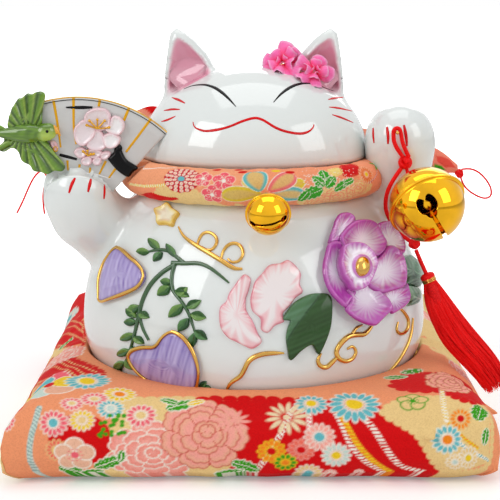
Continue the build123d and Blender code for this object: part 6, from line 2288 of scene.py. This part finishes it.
def silk_petal(target, foot, tip, sideways, width, cup, seed, thick=0.35):
    """Cupped petal with a ruffled rim: two sheets that meet all round."""
    foot, tip = np.asarray(foot, float), np.asarray(tip, float)
    axis = tip - foot
    span = np.linalg.norm(axis)
    axis /= span
    side = np.asarray(sideways, float)
    side -= axis * (side @ axis)
    side /= np.linalg.norm(side)
    up = np.cross(side, axis)
    marks = np.random.default_rng(seed)
    waves = marks.uniform(0, 2 * pi, 3)
    out = np.linspace(0, 1, 13)
    turn = np.linspace(0, 2 * pi, 41)
    out_grid, turn_grid = np.meshgrid(np.concatenate([out, out[::-1][1:]]), turn, indexing="ij")
    along = 0.5 - 0.5 * out_grid * np.cos(turn_grid)
    over = out_grid * np.sin(turn_grid) * 0.5 * (0.42 + 0.72 * np.sqrt(np.clip(along, 0, 1)))
    bend = cup * ((2 * over) ** 2 * 1.5 + (along - 0.35) ** 2 * 1.1)
    bend += 0.045 * out_grid**3 * (np.sin(5 * turn_grid + waves[0]) + 0.7 * np.sin(8 * turn_grid + waves[1]))
    points = foot + axis * (along * span)[..., None] + side * (over * width)[...,
        None] + up * (bend * span)[..., None]
    face = np.arange(25) < 13
    gap = thick * np.sqrt(np.clip(1 - out_grid**6, 0, 1)) * np.where(face, 0.5, -0.5)[:, None]
    points = points + up * gap[..., None]
    tone = shade(np.clip(along * 1.6 - 0.15, 0, 1).ravel(), silk_low, silk_mid).reshape(*along.shape, 3)
    rim = fade(out_grid, 0.72, 1.0) * fade(along, 0.3, 0.8) * 0.75
    vein = 0.5 + 0.5 * np.sin(over * 60 + waves[2])
    light = np.clip(rim + 0.22 * vein * fade(along, 0.15, 0.6) * (0.4 + 0.6 * (marks.uniform() > 0.4)), 0,
                    1)[..., None]
    sheet_mesh(target, points, tone * (1 - light) + silk_edge * light)


silk_finish = Finish("petal_silk", Roughness=0.55, Sheen_Weight=0.25)
silk_finish.set("Base Color", silk_finish.painted())
flower_cloth = bmesh.new()
for middle, facing, size, petal_rows in (
    ((22, -14, 281), (-0.25, -0.8, 0.55), 17, ((6, 20, 0.28, 1.0), (5, 52, 0.72, 0.74), (3, 10, 1.2, 0.4))),
    ((46, -20, 275), (0.35, -0.85, 0.4), 14, ((5, 50, 0.32, 1.08), (4, 12, 0.78, 0.74), (3, 30, 1.2, 0.4))),
):
    out_way = Vector(facing).normalized()
    base_side = out_way.cross(Vector((0, 0, 1))).normalized()
    base_up = base_side.cross(out_way)
    for layer_number, (count, first, lift, share) in enumerate(petal_rows):
        for number in range(count):
            heading = radians(first + 360 / count * number)
            radial = base_side * cos(heading) + base_up * sin(heading)
            tip = Vector(middle) + (radial * cos(lift) + out_way * sin(lift)) * size * share * (1
                + 0.08 * sin(3.1 * number + size))
            foot = Vector(middle) + radial * 1.0 + out_way * (0.6 * layer_number)
            turn_side = out_way.cross(radial) * cos(0.25) + out_way * sin(0.25) * (-1) ** number
            silk_petal(flower_cloth, foot, tip, turn_side, size * share * 0.95, 0.34,
                       number + int(size) + 10 * layer_number)
hair_mesh = mesh_of("hair", closed_out(flower_cloth))
flower_points = points_of(hair_mesh)
for turn_number in range(6):
    way, gap = slope(head_field, flower_points)
    flower_points = flower_points + np.clip(0.4 - gap, 0, 5)[:, None] * way
move_points(hair_mesh, flower_points)
piece("hair_flower_silk", hair_mesh, silk_finish.material, "cat", "hair_flowers")
twist = np.linspace(0, 1, 30)
wires = []
for start, end, radius in (((24, -17, 276), (33, -24, 268.5), 0.9), ((24, -17, 276), (36, -22, 272), 0.8),
                           ((40, -19, 271), (35, -23, 274.5), 0.8)):
    start, end = np.array(start, float), np.array(end, float)
    run = start + (end - start) * twist[:, None]
    for phase in (0, pi):
        run_phase = run + 0.55 * np.stack([np.cos(28 * twist + phase), 0 * twist, np.sin(28 * twist + phase)],
                                          1)
        wires.append((run_phase, 0.45))
wires.append((np.array([(23, -10, 267), (22.8, -11.5, 275), (22, -13, 280)], float), (1.3, 1.2, 1.2)))
wires.append((np.array([(43, -16, 259), (44, -17.5, 267), (46, -19, 274)], float), (1.3, 1.2, 1.2)))
drawn("hair_flower_wires", wires, lustre, "cat")
